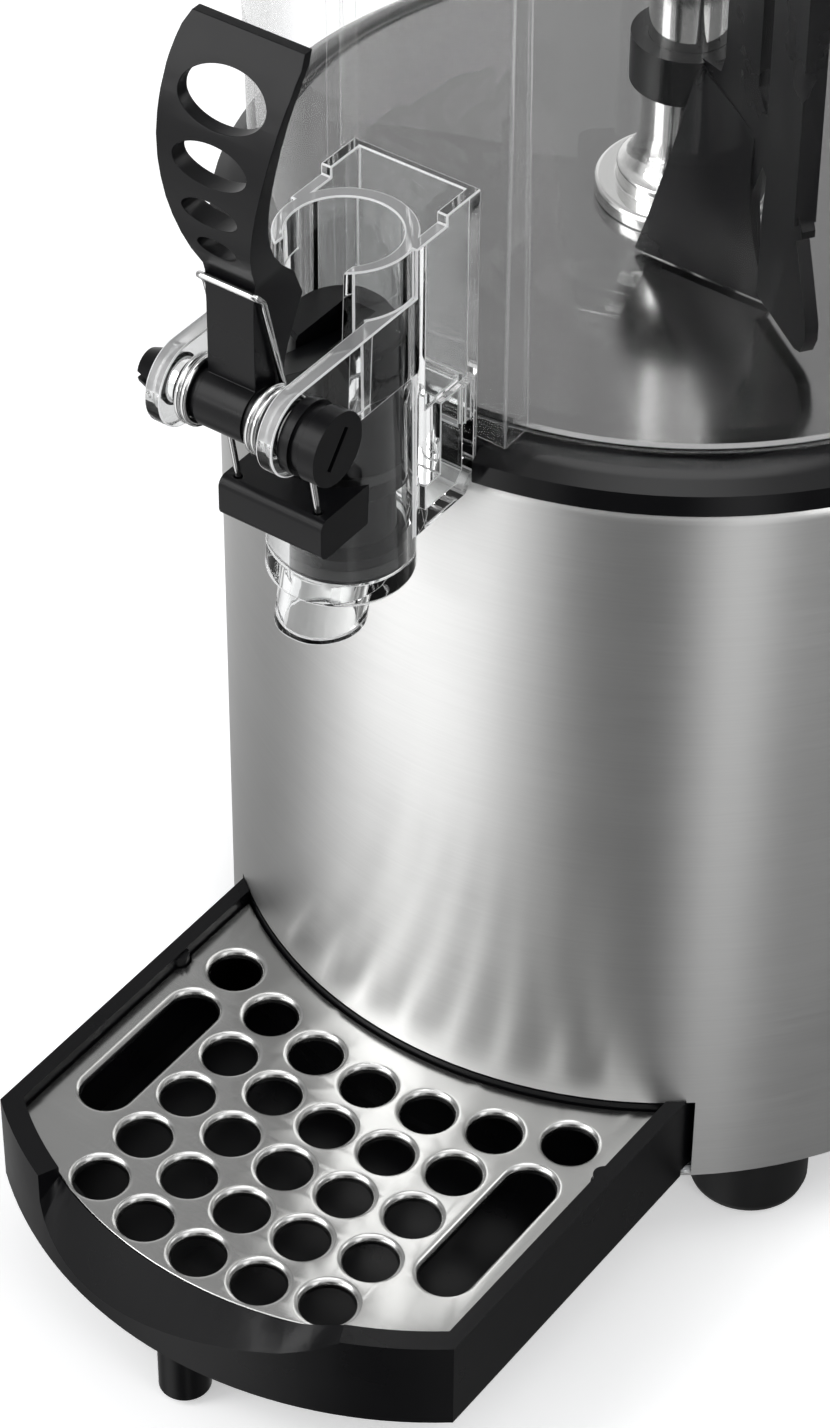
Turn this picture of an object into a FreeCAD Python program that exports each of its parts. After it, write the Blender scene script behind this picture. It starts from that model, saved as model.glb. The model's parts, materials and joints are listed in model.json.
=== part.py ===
"""Countertop hot chocolate dispenser: round heated base, clear bowl, plunger tap and drip tray.

Millimetres, +Z up, the customer stands at -Y.  Everything is drawn about the vertical axis of
the body and moved back by AXIS_Y when it is written, so that the origin is the middle of the
footprint.  Heights are from the table top.
"""
import math
import os

import FreeCAD
import Part

V = FreeCAD.Vector
X_AXIS = V(1, 0, 0)
Z_AXIS = V(0, 0, 1)

# ---- clearances ---------------------------------------------------------------------------
RUN = 0.05            # radial running clearance of pins, bushes and seals
LOOSE = 0.3           # gap between parts that lift or slide off each other
NEST = 0.4            # gap around the grille in the tray's recess
OVER = 1.0            # how far a cutter reaches past the face it opens

# ---- body ---------------------------------------------------------------------------------
BODY_R = 137.0
SKIN = 1.0
BODY_BASE = 22.7      # underside of the body above the table
BODY_TOP = 285.3
SHOULDER_R = 5.0
TOP_FLANGE_R = BODY_R - 18.5          # inner edge of the flange at the top of the shell
BASE_FLANGE_R = BODY_R - 12.0
PLATE_T = 2.0
VENT_HALF = 1.5
VENT_H = 22.0
VENT_BASE = 62.0
VENT_STEP = 30.0
VENT_COUNT = 9
VENT_DEG = 6.0
FLOOR_VENT_HALF = (30.0, 2.0)
FLOOR_VENT_STEP = 12.0
FLOOR_VENT_COUNT = 5

# ---- feet and screws ----------------------------------------------------------------------
FOOT_R = 19.0
FOOT_ORBIT = BODY_R - 20.0
FOOT_ANGLES = (-40.0, 40.0, 140.0, 220.0)
FOOT_BOSS_R = 7.0
FOOT_SCREW_R = 2.5
SHELL_SCREW_R = 1.7
SHELL_SCREW_ORBIT = BODY_R - 8.0
SHELL_SCREW_ANGLES = (-10.0, 65.0, 115.0, 190.0)
DRIVER_W = 1.0        # screwdriver slot
DRIVER_DEPTH = 1.0

# ---- seal ring and tank floor -------------------------------------------------------------
RING_R = BODY_R + 1.5
RING_EDGE_H = 6.9
RING_CREST_R = BODY_R - 6.3
RING_CREST_H = 12.2
FLOOR_R = BODY_R - 13.6
FLOOR_Z = BODY_TOP + 12.7
FLOOR_T = 1.5
FLOOR_SKIRT = 9.0
SPIGOT_R = 13.8       # column spigot through the floor
JACKET_R = TOP_FLANGE_R - 0.5
JACKET_T = 1.2
JACKET_BASE = FLOOR_Z - FLOOR_T - 60.5
SLEEVE_R = 22.0       # inner wall of the ring-shaped water jacket
ELEMENT_R = JACKET_R - 38.0
ELEMENT_Z = JACKET_BASE + 16.0
ELEMENT_TUBE = 4.0
ELEMENT_END_X = 14.0
ELEMENT_TAIL = 12.0

# ---- bowl ---------------------------------------------------------------------------------
BOWL_BASE_R = FLOOR_R + 3.1
BOWL_TOP_R = BOWL_BASE_R + 4.9
BOWL_WALL = 2.6
BOWL_BASE = FLOOR_Z + 0.5
BOWL_SKIRT = 2.3      # the wall goes this far down into the seal ring
BOWL_TOP = BOWL_BASE + 245.5
RIM_BEAD = 2.0
RIM_BEAD_H = 4.0
PAD_Y = BOWL_BASE_R + 7.0             # flat front face of the bowl
PAD_HALF = 30.0
PAD_FLOOR = 2.5
WINDOW_HALF = 12.0
WINDOW_BASE = BOWL_BASE + 3.0
WINDOW_TOP = BOWL_BASE + 16.0

# ---- drive --------------------------------------------------------------------------------
GEARBOX = (44.0, 32.0, 34.0)          # half X, half Y, height
GEARBOX_TOP = JACKET_BASE - 40.0
OUTPUT_R = 4.0
OUTPUT_DEPTH = 20.0
BOSS_R = 10.0
BOSS_H = 2.5
MOTOR = (33.0, 30.0, 54.0)
BRACKET_HALF = 72.0
BRACKET_W = 25.0
BRACKET_T = 2.0
BRACKET_FOOT = 18.0

# ---- column and stirrer -------------------------------------------------------------------
COLUMN_R = 12.0
COLUMN_WALL = 2.5
COLUMN_TOP = FLOOR_Z + 202.0
COLUMN_FOOT = FLOOR_Z - 36.0
FLANGE_R = 26.0
STEP_R = 19.5
NECK_R = 13.2
NECK_TOP = FLOOR_Z + 38.9
SHAFT_R = 5.0
SHAFT_TOP = COLUMN_TOP + 13.0
SHAFT_FOOT = GEARBOX_TOP + 18.0
SHAFT_FLAT = 4.0      # half width across the flats at the top
COUPLING_R = 11.0
COUPLING_UP = 12.0
COUPLING_DOWN = 14.0
BUSH_L = 15.0
COLLAR_R = 17.0
COLLAR_BASE = NECK_TOP + 0.1
COLLAR_TOP = COLLAR_BASE + 15.0
HUB_TOP_R = 14.0
BRIDGE_BASE = COLUMN_TOP + 3.0
BRIDGE_TOP = BRIDGE_BASE + 9.0
BRIDGE_HALF = 5.5
PADDLE_ANGLE = -35.2  # direction of the paddle, seen from above
PADDLE_T = 4.0
PADDLE_OUT = 86.0     # outer edge of the paddle's uprights
RIM_IN = PADDLE_OUT - 7.5              # inner edge of the paddle's thick outer rim
RIM_T = 6.5
SLOT_IN = 54.0        # the long opening between the paddle's two uprights
SLOT_OUT = 61.0

# ---- tap ----------------------------------------------------------------------------------
BOX_HALF = 20.5
BOX_WALL = 3.5
BOX_TOP = BOWL_BASE + 81.5
BOX_BASE = BOWL_BASE - 17.0
BORE_R = 15.7
BORE_Y = -PAD_Y - 32.5
BORE_BASE = BOX_BASE - 10.0
TAP_TOP = BOX_TOP - 3.3
TAP_TOP_R = BORE_R + 3.7
TAP_TOP_Y = BORE_Y + 0.7
TAP_BASE = BORE_BASE - 3.0
TAP_BASE_R = BORE_R + 5.1
TAP_BASE_Y = BORE_Y - 2.5
SPOUT_BASE = TAP_BASE - 13.5
SPOUT_R = 12.8
SPOUT_WALL = 3.2
SPOUT_Y = BORE_Y - 12.0
SPOUT_TOP_Y = BORE_Y - 7.6
SLOT_HALF = 11.0
SLOT_BASE = BOX_TOP - 48.0
PORT_BASE = BORE_BASE + 12.5
PORT_TOP = BORE_BASE + 21.0
POCKET_BASE = BOX_TOP - 60.0
EAR_OUT = BOX_HALF
EAR_IN = 15.5
EAR_R = 12.4
PIVOT_Y = BORE_Y - 46.7
PIVOT_Z = BOX_TOP - 31.0
PIVOT_PIN_R = 6.0
PIN_HEAD_R = 10.5
PIN_WAIST_R = 9.3

# ---- piston -------------------------------------------------------------------------------
PISTON_R = BORE_R - 0.07
PISTON_NECK_R = BORE_R - 2.7
PISTON_TOP = PIVOT_Z
LAND_LOW_TOP = BORE_BASE + 9.0
LAND_HIGH_BASE = BORE_BASE + 28.5
WAIST = 2.5           # height of the cones between land and waist
SEAL_H = 3.4
SEAL_GAP = 0.1
SEAL_INNER_R = BORE_R - 3.1
SEAL_LOW = BORE_BASE + 2.1
SEAL_HIGH = BORE_BASE + 33.3
CROSS_PIN_R = 2.5
CROSS_PIN_HALF = 12.5
CROSS_PIN_Z = PIVOT_Z - 12.51
ARM_HALF = 4.6
ARM_SLOT_GAP = 0.4
ARM_SLOT_DROP = 10.5  # how far the arm's slot goes below the cross pin
ARM_SLOT_BACK = 7.8

# ---- lever, drawn about its pivot: y towards the bowl, z up -------------------------------
HUB_R = 8.5
HUB_HALF = 7.6
SPOOL_R = 7.8
SPOOL_HALF = 14.9
BLADE_FRONT = (42.7, 69.0, 52.0)      # y, z and radius of the handle's front face
BLADE_BACK = (42.3, 74.0, 46.0)
BLADE_TOP = 108.0
BLADE_BEND = 42.0
STEM = ((-1.6, 39.4), (-1.8, 37.5), (-1.8, 8.0), (3.7, 0.0), (8.2, 3.0), (12.2, 15.0),
        (18.8, 27.9), (15.1, 36.4))
BLADE_WIDTHS = ((108.0, 17.2), (105.0, 18.3), (99.0, 18.5), (89.0, 17.8), (81.0, 16.9),
                (74.0, 15.7), (64.0, 13.6), (55.0, 11.4), (46.0, 9.3), (40.0, 7.9),
                (31.0, HUB_HALF), (-4.0, HUB_HALF))
BLADE_HOLES = ((93.9, 13.3, 7.1), (77.7, 11.4, 5.6), (63.8, 8.6, 4.0), (52.1, 6.0, 3.3))
ARM_L = 53.2
ARM_DEPTH = 5.2
FORK_START = 44.0
FORK_GAP = 0.15

# ---- return spring ------------------------------------------------------------------------
WIRE_R = 0.95
COIL_R = 9.1
COIL_PITCH = 2.0
COIL_TURNS = 2.0
COIL_START = 9.2
COIL_END = COIL_START + COIL_PITCH * COIL_TURNS
SPRING_BAR_HALF = 17.0
SPRING_BAR_BASE = BOX_BASE + 14.5
SPRING_BAR_TOP = SPRING_BAR_BASE + 13.0
SPRING_BAR_FRONT = PIVOT_Y + 12.7
SPRING_BAR_BACK = BORE_Y - 10.0
SPRING_FOOT_Y = SPRING_BAR_FRONT + 5.0
SPRING_FOOT_Z = SPRING_BAR_BASE + 7.0
CROSSBAR_Y = PIVOT_Y - 2.9
CROSSBAR_Z = PIVOT_Z + 39.0

# ---- drip tray and grille -----------------------------------------------------------------
TRAY_HALF = 85.0
TRAY_ARC_R = 137.0
TRAY_ARC_Y = 14.0 - BODY_R
TRAY_REACH = TRAY_ARC_R - TRAY_ARC_Y
TRAY_BACK_R = BODY_R - 9.0
TRAY_BASE = BODY_BASE + 0.8
TRAY_RIM = TRAY_BASE + 32.5
TRAY_WALL = 2.5
TRAY_LEDGE = 9.0
OPENING_HALF = TRAY_HALF + 2.0
OPENING_TOP = TRAY_RIM - 1.0
GRILLE_TOP = TRAY_RIM - 4.0
GRILLE_T = 1.5
GRILLE_BASE = GRILLE_TOP - GRILLE_T
GRILLE_HALF = TRAY_HALF - 5.5
GRILLE_ARC_R = TRAY_ARC_R - 7.4
GRILLE_BACK_R = BODY_R + 2 * LOOSE
BASIN_ARC_R = GRILLE_ARC_R - 3.6
BASIN_BACK_R = GRILLE_BACK_R + 3.4
LEDGE_T = 3.0
HOLE_R = 8.15
HOLE_PITCH = 21.3
HOLE_FLARE = 1.3
HOLE_SKIRT = 1.3      # pressed skirt under the sheet around each hole
HOLE_SKIRT_R = HOLE_R + 0.9
ROW_ARC_R = 133.0
FIRST_ROW_Y = -BODY_R - 19.4
ROW_COUNTS = (7, 5, 5, 5, 5)
SLOT_X = 64.0
SLOT_Y = FIRST_ROW_Y - 27.0
SLOT_C_TO_C = 42.5
CLIP_R = 3.4          # round clips on the side rims that hold the grille
CLIP_X = GRILLE_HALF + 1.6
CLIP_Y = -BODY_R - 10.0
SCOOP_LEFT = 56.0
SCOOP_RIGHT = 57.0
SCOOP_DEPTH = 24.3
SCOOP_STEPS = 18
POST_R = 8.1
POST_Y = 10.0 - TRAY_REACH
POST_TIP = 2.5
SPLASH_R = TRAY_BACK_R - 4.0
SPLASH_T = 1.2
SPLASH_TOP = TRAY_RIM + 4.0
SPLASH_DEG = math.degrees(math.asin((OPENING_HALF + 0.7) / SPLASH_R))

# ---- controls -----------------------------------------------------------------------------
PANEL_DEG = 40.0      # direction of the control panel, seen from above
PANEL_SPAN_DEG = 19.0
PANEL_BASE = 92.0
PANEL_TOP = BODY_TOP - 53.3
PANEL_T = 2.0
SEAT_T = 0.6          # raised seats of the knob and the switch
SEAT_R = BODY_R + PANEL_T + SEAT_T
KNOB_R = 20.0
KNOB_L = 13.0
KNOB_Z = PANEL_TOP - 36.0
SPINDLE_R = 3.0
SPINDLE_L = 9.0
SWITCH_Z = PANEL_BASE + 30.0
SWITCH_HALF = (11.0, 15.0)            # half width, half height of the switch opening
SWITCH_EDGE = 2.0
LAMP_Z = PANEL_BASE + 64.0
LAMP_R = 5.0
GLAND_DEG = 62.0
GLAND_Z = BODY_BASE + 23.3
GLAND_R = 8.0
GLAND_NUT_R = 11.0
TERMINAL_AT = (BODY_R - 97.0, BODY_R - 71.0)
TERMINAL = (44.0, 18.0, 16.0)          # length, width, height

# ---- lid ----------------------------------------------------------------------------------
LID_T = 2.5
LID_R = BOWL_TOP_R + 2.6
LID_CROWN = BOWL_TOP + 14.0
LID_RIB_H = 7.0
LID_BORE_R = 4.0
KNOB_TOP = LID_CROWN + 20.0

# ---- derived ------------------------------------------------------------------------------
AXIS_Y = (TRAY_REACH - RING_R) / 2
PLATE_BASE = BODY_BASE + SKIN
PLATE_TOP = PLATE_BASE + PLATE_T


def box(x0, x1, y0, y1, z0, z1):
    """Block between two corners."""
    return Part.makeBox(x1 - x0, y1 - y0, z1 - z0, V(x0, y0, z0))


def rod(r, z0, z1, x=0.0, y=0.0):
    """Upright cylinder."""
    return Part.makeCylinder(r, z1 - z0, V(x, y, z0))


def rod_x(r, x0, x1, y, z):
    """Cylinder along X."""
    return Part.makeCylinder(r, x1 - x0, V(x0, y, z), X_AXIS)


def tube(r_out, r_in, z0, z1, x=0.0, y=0.0):
    """Upright tube."""
    return rod(r_out, z0, z1, x, y).cut(rod(r_in, z0, z1, x, y))


def turned(points):
    """Solid of revolution about Z from (r, z) corners."""
    corners = [V(r, 0, z) for r, z in points]
    face = Part.Face(Part.makePolygon(corners + corners[:1]))
    return face.revolve(V(0, 0, 0), Z_AXIS, 360)


def prism(corners, way):
    """Flat outline of points pushed along a vector."""
    return Part.Face(Part.makePolygon(corners + corners[:1])).extrude(way)


def plate_x(points, x0, x1):
    """Prism along X from (y, z) corners."""
    return prism([V(x0, y, z) for y, z in points], V(x1 - x0, 0, 0))


def slant(r0, y0, z0, r1, y1, z1):
    """Leaning cone on the plane of symmetry, cut level at both ends."""
    over = 3.0
    axis = V(0, y1 - y0, z1 - z0)
    length = axis.Length
    step = V(axis).normalize().multiply(over)
    grow = (r1 - r0) * over / length
    start = V(0, y0, z0).sub(step)
    if abs(r1 - r0) < 1e-6:
        cone = Part.makeCylinder(r0, length + 2 * over, start, axis)
    else:
        cone = Part.makeCone(r0 - grow, r1 + grow, length + 2 * over, start, axis)
    room = 2 * (r0 + r1)
    return cone.common(box(-room, room, y0 - room, y0 + room, z0, z1))


def fuse(*shapes):
    """One clean solid from several that meet."""
    return shapes[0].multiFuse(list(shapes[1:])).removeSplitter()


def turn_z(shape, degrees):
    """Copy turned about the body axis."""
    copy = shape.copy()
    copy.rotate(V(0, 0, 0), Z_AXIS, degrees)
    return copy


def ring_of(shape, angles):
    """One copy at each angle about the body axis, in one node."""
    return Part.makeCompound([turn_z(shape, angle) for angle in angles])


def write(node, shape):
    """Move a shape to the final frame and write it."""
    shape = shape.copy()
    shape.translate(V(0, AXIS_Y, 0))
    shape.exportStep("parts/%s.step" % node)


# ---- base of the machine ------------------------------------------------------------------
def body_shell():
    """Rolled steel sleeve with a tray opening, vents and holes for the controls."""
    roll = BODY_R - SHOULDER_R
    inner_roll = SHOULDER_R - SKIN
    half = math.sqrt(0.5)
    knee = BODY_TOP - SHOULDER_R
    under = BODY_TOP - SKIN
    inside = BODY_R - SKIN
    outer_arc = Part.Arc(V(BODY_R, 0, knee), V(roll + SHOULDER_R * half, 0, knee + SHOULDER_R * half),
                         V(roll, 0, BODY_TOP))
    inner_arc = Part.Arc(V(roll, 0, under), V(roll + inner_roll * half, 0, knee + inner_roll * half),
                         V(inside, 0, knee))
    runs = [((BASE_FLANGE_R, BODY_BASE), (BODY_R, BODY_BASE)), ((BODY_R, BODY_BASE), (BODY_R, knee)),
            ((roll, BODY_TOP), (TOP_FLANGE_R, BODY_TOP)), ((TOP_FLANGE_R, BODY_TOP), (TOP_FLANGE_R, under)),
            ((TOP_FLANGE_R, under), (roll, under)), ((inside, knee), (inside, PLATE_BASE)),
            ((inside, PLATE_BASE), (BASE_FLANGE_R, PLATE_BASE)),
            ((BASE_FLANGE_R, PLATE_BASE), (BASE_FLANGE_R, BODY_BASE))]
    outline = [outer_arc.toShape(), inner_arc.toShape()]
    for (r0, z0), (r1, z1) in runs:
        outline.append(Part.LineSegment(V(r0, 0, z0), V(r1, 0, z1)).toShape())
    shell = Part.Face(Part.Wire(Part.__sortEdges__(outline))).revolve(V(0, 0, 0), Z_AXIS, 360)
    reach = BODY_R + PANEL_T
    cuts = [box(-OPENING_HALF, OPENING_HALF, -reach, -reach / 2, PLATE_BASE, OPENING_TOP)]
    rear = 90 + PANEL_DEG - VENT_DEG
    for row in range(2):
        low = VENT_BASE + VENT_STEP * row
        slot = box(BODY_R - 5, reach, -VENT_HALF, VENT_HALF, low, low + VENT_H)
        for column in range(int(VENT_COUNT)):
            cuts.append(turn_z(slot, rear + VENT_DEG * (column - (VENT_COUNT - 1) / 2)))
    cuts.append(turn_z(panel_holes(), PANEL_DEG))
    cuts.append(turn_z(gland_hole(), GLAND_DEG))
    for angle in SHELL_SCREW_ANGLES:
        cuts.append(turn_z(rod(SHELL_SCREW_R, BODY_BASE, PLATE_BASE, SHELL_SCREW_ORBIT), angle))
    return shell.cut(Part.makeCompound(cuts))


def panel_holes():
    """Cutters for the spindle, switch and lamp, pointing along +X."""
    inner = BODY_R - 4
    outer = BODY_R + PANEL_T + 4
    half_w, half_h = SWITCH_HALF
    spindle = rod_x(SPINDLE_R + LOOSE, inner, outer, 0, KNOB_Z)
    lamp = rod_x(LAMP_R + RUN, inner, outer, 0, LAMP_Z)
    switch = box(inner, outer, -half_w, half_w, SWITCH_Z - half_h, SWITCH_Z + half_h)
    return Part.makeCompound([spindle, lamp, switch])


def gland_hole():
    """Cutter for the cable gland, pointing along +X."""
    return rod_x(GLAND_R + RUN, BODY_R - 4, BODY_R + 4, 0, GLAND_Z)


def base_plate():
    """Steel disc that closes the body and carries the feet, bracket and terminals."""
    plate = rod(BODY_R - SKIN - LOOSE, PLATE_BASE, PLATE_TOP)
    cuts = []
    for angle in FOOT_ANGLES:
        cuts.append(turn_z(rod(FOOT_SCREW_R + RUN, PLATE_BASE, PLATE_TOP, FOOT_ORBIT), angle))
    for angle in SHELL_SCREW_ANGLES:
        cuts.append(turn_z(rod(SHELL_SCREW_R, PLATE_BASE, PLATE_TOP, SHELL_SCREW_ORBIT), angle))
    half_l, half_w = FLOOR_VENT_HALF
    for index in range(int(FLOOR_VENT_COUNT)):
        y = FLOOR_VENT_STEP * (index - (FLOOR_VENT_COUNT - 1) / 2)
        cuts.append(box(-half_l, half_l, y - half_w, y + half_w, PLATE_BASE, PLATE_TOP))
    return plate.cut(Part.makeCompound(cuts))


def rubber_feet():
    """Four feet with a rounded lower edge, a boss and a screw hole."""
    foot = turned([(0, 0), (FOOT_R - 3, 0), (FOOT_R - 0.8, 1.0), (FOOT_R, 3.4), (FOOT_R, BODY_BASE),
                   (FOOT_BOSS_R, BODY_BASE), (FOOT_BOSS_R, PLATE_BASE), (0, PLATE_BASE)])
    foot = foot.cut(rod(FOOT_SCREW_R, BODY_BASE - 10, PLATE_BASE))
    foot.translate(V(FOOT_ORBIT, 0, 0))
    return ring_of(foot, FOOT_ANGLES)


def screw(r, head_r, head_h, z_head, length, orbit):
    """Slotted pan-head screw pointing down from z_head, at a distance from the axis."""
    top = z_head + head_h
    shape = fuse(rod(head_r, z_head, top, orbit), rod(r, z_head - length, z_head, orbit))
    half = DRIVER_W / 2
    return shape.cut(box(orbit - head_r, orbit + head_r, -half, half, top - DRIVER_DEPTH, top))


def foot_screws():
    """Screws that hold the feet, with their heads on the base plate."""
    one = screw(FOOT_SCREW_R - RUN, 2 * FOOT_SCREW_R, 3.0, PLATE_TOP, 11.0, FOOT_ORBIT)
    return ring_of(one, FOOT_ANGLES)


def shell_screws():
    """Screws that join the base plate to the shell's lower flange."""
    one = screw(SHELL_SCREW_R - RUN, SHELL_SCREW_R + 1.5, 2.0, PLATE_TOP, PLATE_T + SKIN, SHELL_SCREW_ORBIT)
    return ring_of(one, SHELL_SCREW_ANGLES)


def splash_wall():
    """Curved steel wall that keeps spills from the tray bay out of the body."""
    skin_r = BODY_R - SKIN - RUN
    wall = tube(SPLASH_R + SPLASH_T, SPLASH_R, PLATE_TOP, SPLASH_TOP)
    roof = tube(skin_r, SPLASH_R, SPLASH_TOP - SPLASH_T, SPLASH_TOP)
    sector = Part.makeCylinder(BODY_R, SPLASH_TOP, V(0, 0, 0), Z_AXIS, 2 * SPLASH_DEG)
    wall = wall.multiFuse([roof]).common(turn_z(sector, -90 - SPLASH_DEG))
    cheek = box(SPLASH_R + SPLASH_T / 2, skin_r - LOOSE, 0, SPLASH_T, PLATE_TOP, SPLASH_TOP)
    return fuse(wall, turn_z(cheek, -90 - SPLASH_DEG), turn_z(cheek, -90 + SPLASH_DEG))


# ---- drip tray ----------------------------------------------------------------------------
def tray_outline(half, front_r, back_r, z0, z1):
    """Upright block with straight sides, a bowed front and a back that follows the body."""
    sides = box(-half, half, TRAY_ARC_Y - front_r, 0, z0, z1)
    front = rod(front_r, z0, z1, 0, TRAY_ARC_Y).fuse(box(-half, half, TRAY_ARC_Y, 0, z0, z1))
    return sides.common(front).cut(rod(back_r, z0, z1))


def scoop_cutter():
    """Finger scoop in the front rim: steep on the left, running out slowly to the right."""
    inner_r = GRILLE_ARC_R + NEST
    outer_r = TRAY_ARC_R + 3
    top = TRAY_RIM + OVER
    skew = 0.45
    wires = []
    for index in range(int(SCOOP_STEPS) + 1):
        t = 0.004 + 0.992 * (index / SCOOP_STEPS) ** 1.4
        side = (SCOOP_LEFT + SCOOP_RIGHT) * t - SCOOP_LEFT
        depth = SCOOP_DEPTH * math.sin(math.pi * t ** skew) ** 0.85
        rise = (TRAY_RIM - GRILLE_TOP) * (1 - min(1.0, depth / 6.0))
        angle = math.asin(side / TRAY_ARC_R)
        along = V(math.sin(angle), -math.cos(angle), 0)
        corners = []
        for r, z in ((inner_r, top), (outer_r, top), (outer_r, GRILLE_TOP + rise - depth),
                     (TRAY_ARC_R, GRILLE_TOP + rise - depth * 0.95), (inner_r, GRILLE_TOP + rise)):
            corners.append(V(0, TRAY_ARC_Y, z).add(V(along).multiply(r)))
        wires.append(Part.makePolygon(corners + corners[:1]))
    return Part.makeLoft(wires, True, True)


def drip_tray():
    """Moulded tray: hollow double wall, ledge for the grille, finger scoop and front post."""
    outer = tray_outline(TRAY_HALF, TRAY_ARC_R, TRAY_BACK_R, TRAY_BASE, TRAY_RIM)
    recess = tray_outline(GRILLE_HALF + NEST, GRILLE_ARC_R + NEST, GRILLE_BACK_R - NEST,
                          GRILLE_BASE, TRAY_RIM)
    inside = TRAY_HALF - TRAY_LEDGE
    basin = tray_outline(inside, BASIN_ARC_R, BASIN_BACK_R, PLATE_TOP + 2.6, GRILLE_TOP)
    well = tray_outline(inside, BASIN_ARC_R, BASIN_BACK_R, TRAY_BASE + TRAY_WALL, GRILLE_TOP)
    ring_out = tray_outline(TRAY_HALF - TRAY_WALL, TRAY_ARC_R - TRAY_WALL, TRAY_BACK_R + TRAY_WALL,
                            TRAY_BASE, GRILLE_BASE - LEDGE_T)
    keep = tray_outline(inside + TRAY_WALL, BASIN_ARC_R + TRAY_WALL, BASIN_BACK_R - TRAY_WALL,
                        TRAY_BASE, GRILLE_TOP)
    scoop_room = tube(TRAY_ARC_R, BASIN_ARC_R, TRAY_BASE, TRAY_RIM, 0, TRAY_ARC_Y)
    scoop_room = scoop_room.common(box(-SCOOP_LEFT - TRAY_WALL, SCOOP_RIGHT + TRAY_WALL,
                                       -TRAY_REACH, TRAY_ARC_Y, 0, TRAY_RIM))
    hollow = ring_out.cut(keep).cut(scoop_room)
    step = rod(BODY_R + OVER, TRAY_BASE, PLATE_TOP + 0.1)
    lowered = rod(BODY_R + LOOSE, OPENING_TOP - 2 * LOOSE, TRAY_RIM)
    reliefs = [rod(HOLE_SKIRT_R + LOOSE, GRILLE_BASE - HOLE_SKIRT - LOOSE, GRILLE_TOP, x, y)
               for x, y in grille_holes()]
    tray = outer.cut(Part.makeCompound([recess, basin])).cut(well.cut(rod(BASIN_BACK_R + 2.6, 0, GRILLE_TOP)))
    tray = tray.cut(hollow).cut(step).cut(lowered).cut(scoop_cutter()).cut(Part.makeCompound(reliefs))
    clips = [rod(CLIP_R, GRILLE_BASE, TRAY_RIM - OVER, side * CLIP_X, CLIP_Y) for side in (-1, 1)]
    post = fuse(rod(POST_R, POST_TIP, TRAY_BASE + TRAY_WALL, 0, POST_Y),
                Part.makeCone(POST_R - 2.2, POST_R, POST_TIP, V(0, POST_Y, 0)))
    post = post.common(rod(TRAY_ARC_R, 0, TRAY_RIM, 0, TRAY_ARC_Y))
    return fuse(tray, post, *clips)


def grille_holes():
    """Centres of the round openings: straight columns, rows on equal arcs."""
    centres = []
    for row, count in enumerate(ROW_COUNTS):
        side = int(count) // 2
        for column in range(-side, side + 1):
            x = column * HOLE_PITCH
            y = FIRST_ROW_Y - row * HOLE_PITCH + ROW_ARC_R - math.sqrt(ROW_ARC_R ** 2 - x * x)
            centres.append((x, y))
    return centres


def tray_grille():
    """Pressed steel grille with flared drain holes and two finger slots."""
    skirt_base = GRILLE_BASE - HOLE_SKIRT
    flare_base = GRILLE_TOP - HOLE_FLARE
    half = SLOT_C_TO_C / 2
    wide = HOLE_R + HOLE_FLARE
    ends = [(side * SLOT_X, SLOT_Y + step) for side in (-1, 1) for step in (-half, half)]
    cuts = []
    skirts = []
    for x, y in grille_holes() + ends:
        cuts.append(rod(HOLE_R, skirt_base, GRILLE_TOP, x, y))
        cuts.append(Part.makeCone(HOLE_R, wide, HOLE_FLARE, V(x, y, flare_base)))
        skirts.append(rod(HOLE_SKIRT_R, skirt_base, GRILLE_BASE, x, y))
    for side in (-1, 1):
        x = side * SLOT_X
        y0 = SLOT_Y - half
        y1 = SLOT_Y + half
        cuts.append(box(x - HOLE_R, x + HOLE_R, y0, y1, skirt_base, GRILLE_TOP))
        skirts.append(box(x - HOLE_SKIRT_R, x + HOLE_SKIRT_R, y0, y1, skirt_base, GRILLE_BASE))
        cuts.append(prism([V(x - HOLE_R, y0, flare_base), V(x + HOLE_R, y0, flare_base),
                           V(x + wide, y0, GRILLE_TOP), V(x - wide, y0, GRILLE_TOP)], V(0, y1 - y0, 0)))
        cuts.append(rod(CLIP_R + LOOSE, GRILLE_BASE, GRILLE_TOP, side * CLIP_X, CLIP_Y))
    plate = tray_outline(GRILLE_HALF, GRILLE_ARC_R, GRILLE_BACK_R, GRILLE_BASE, GRILLE_TOP)
    return plate.multiFuse(skirts).cut(Part.makeCompound(cuts))


# ---- tank floor, jacket and drive ---------------------------------------------------------
def bowl_seal_ring():
    """Black ring that the bowl stands in, notched in front for the tap."""
    crest = BODY_TOP + RING_CREST_H
    groove_base = BOWL_BASE - BOWL_SKIRT - LOOSE
    groove_in = FLOOR_R + 0.1
    groove_out = BOWL_BASE_R + 0.5
    skirt_base = FLOOR_Z - FLOOR_SKIRT
    ring = turned([(TOP_FLANGE_R, BODY_TOP), (RING_R, BODY_TOP), (RING_R, BODY_TOP + RING_EDGE_H),
                   (RING_CREST_R, crest), (groove_out + 0.4, crest + 0.6), (groove_out, crest + 0.2),
                   (groove_out, groove_base), (groove_in, groove_base), (groove_in, skirt_base),
                   (TOP_FLANGE_R, skirt_base)])
    half = BOX_HALF + 0.8
    return ring.cut(box(-half, half, -RING_R - OVER, 0.7 - PAD_Y, BODY_TOP, crest + 2 * OVER))


def tank_floor():
    """Polished steel floor of the bowl with a turned-down edge."""
    low = FLOOR_Z - FLOOR_T
    edge = FLOOR_R - FLOOR_T
    hole = SPIGOT_R + 0.1
    skirt_base = FLOOR_Z - FLOOR_SKIRT
    return turned([(hole, low), (edge, low), (edge, skirt_base), (FLOOR_R, skirt_base),
                   (FLOOR_R, FLOOR_Z - 1), (FLOOR_R - 1, FLOOR_Z), (hole, FLOOR_Z)])


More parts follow.
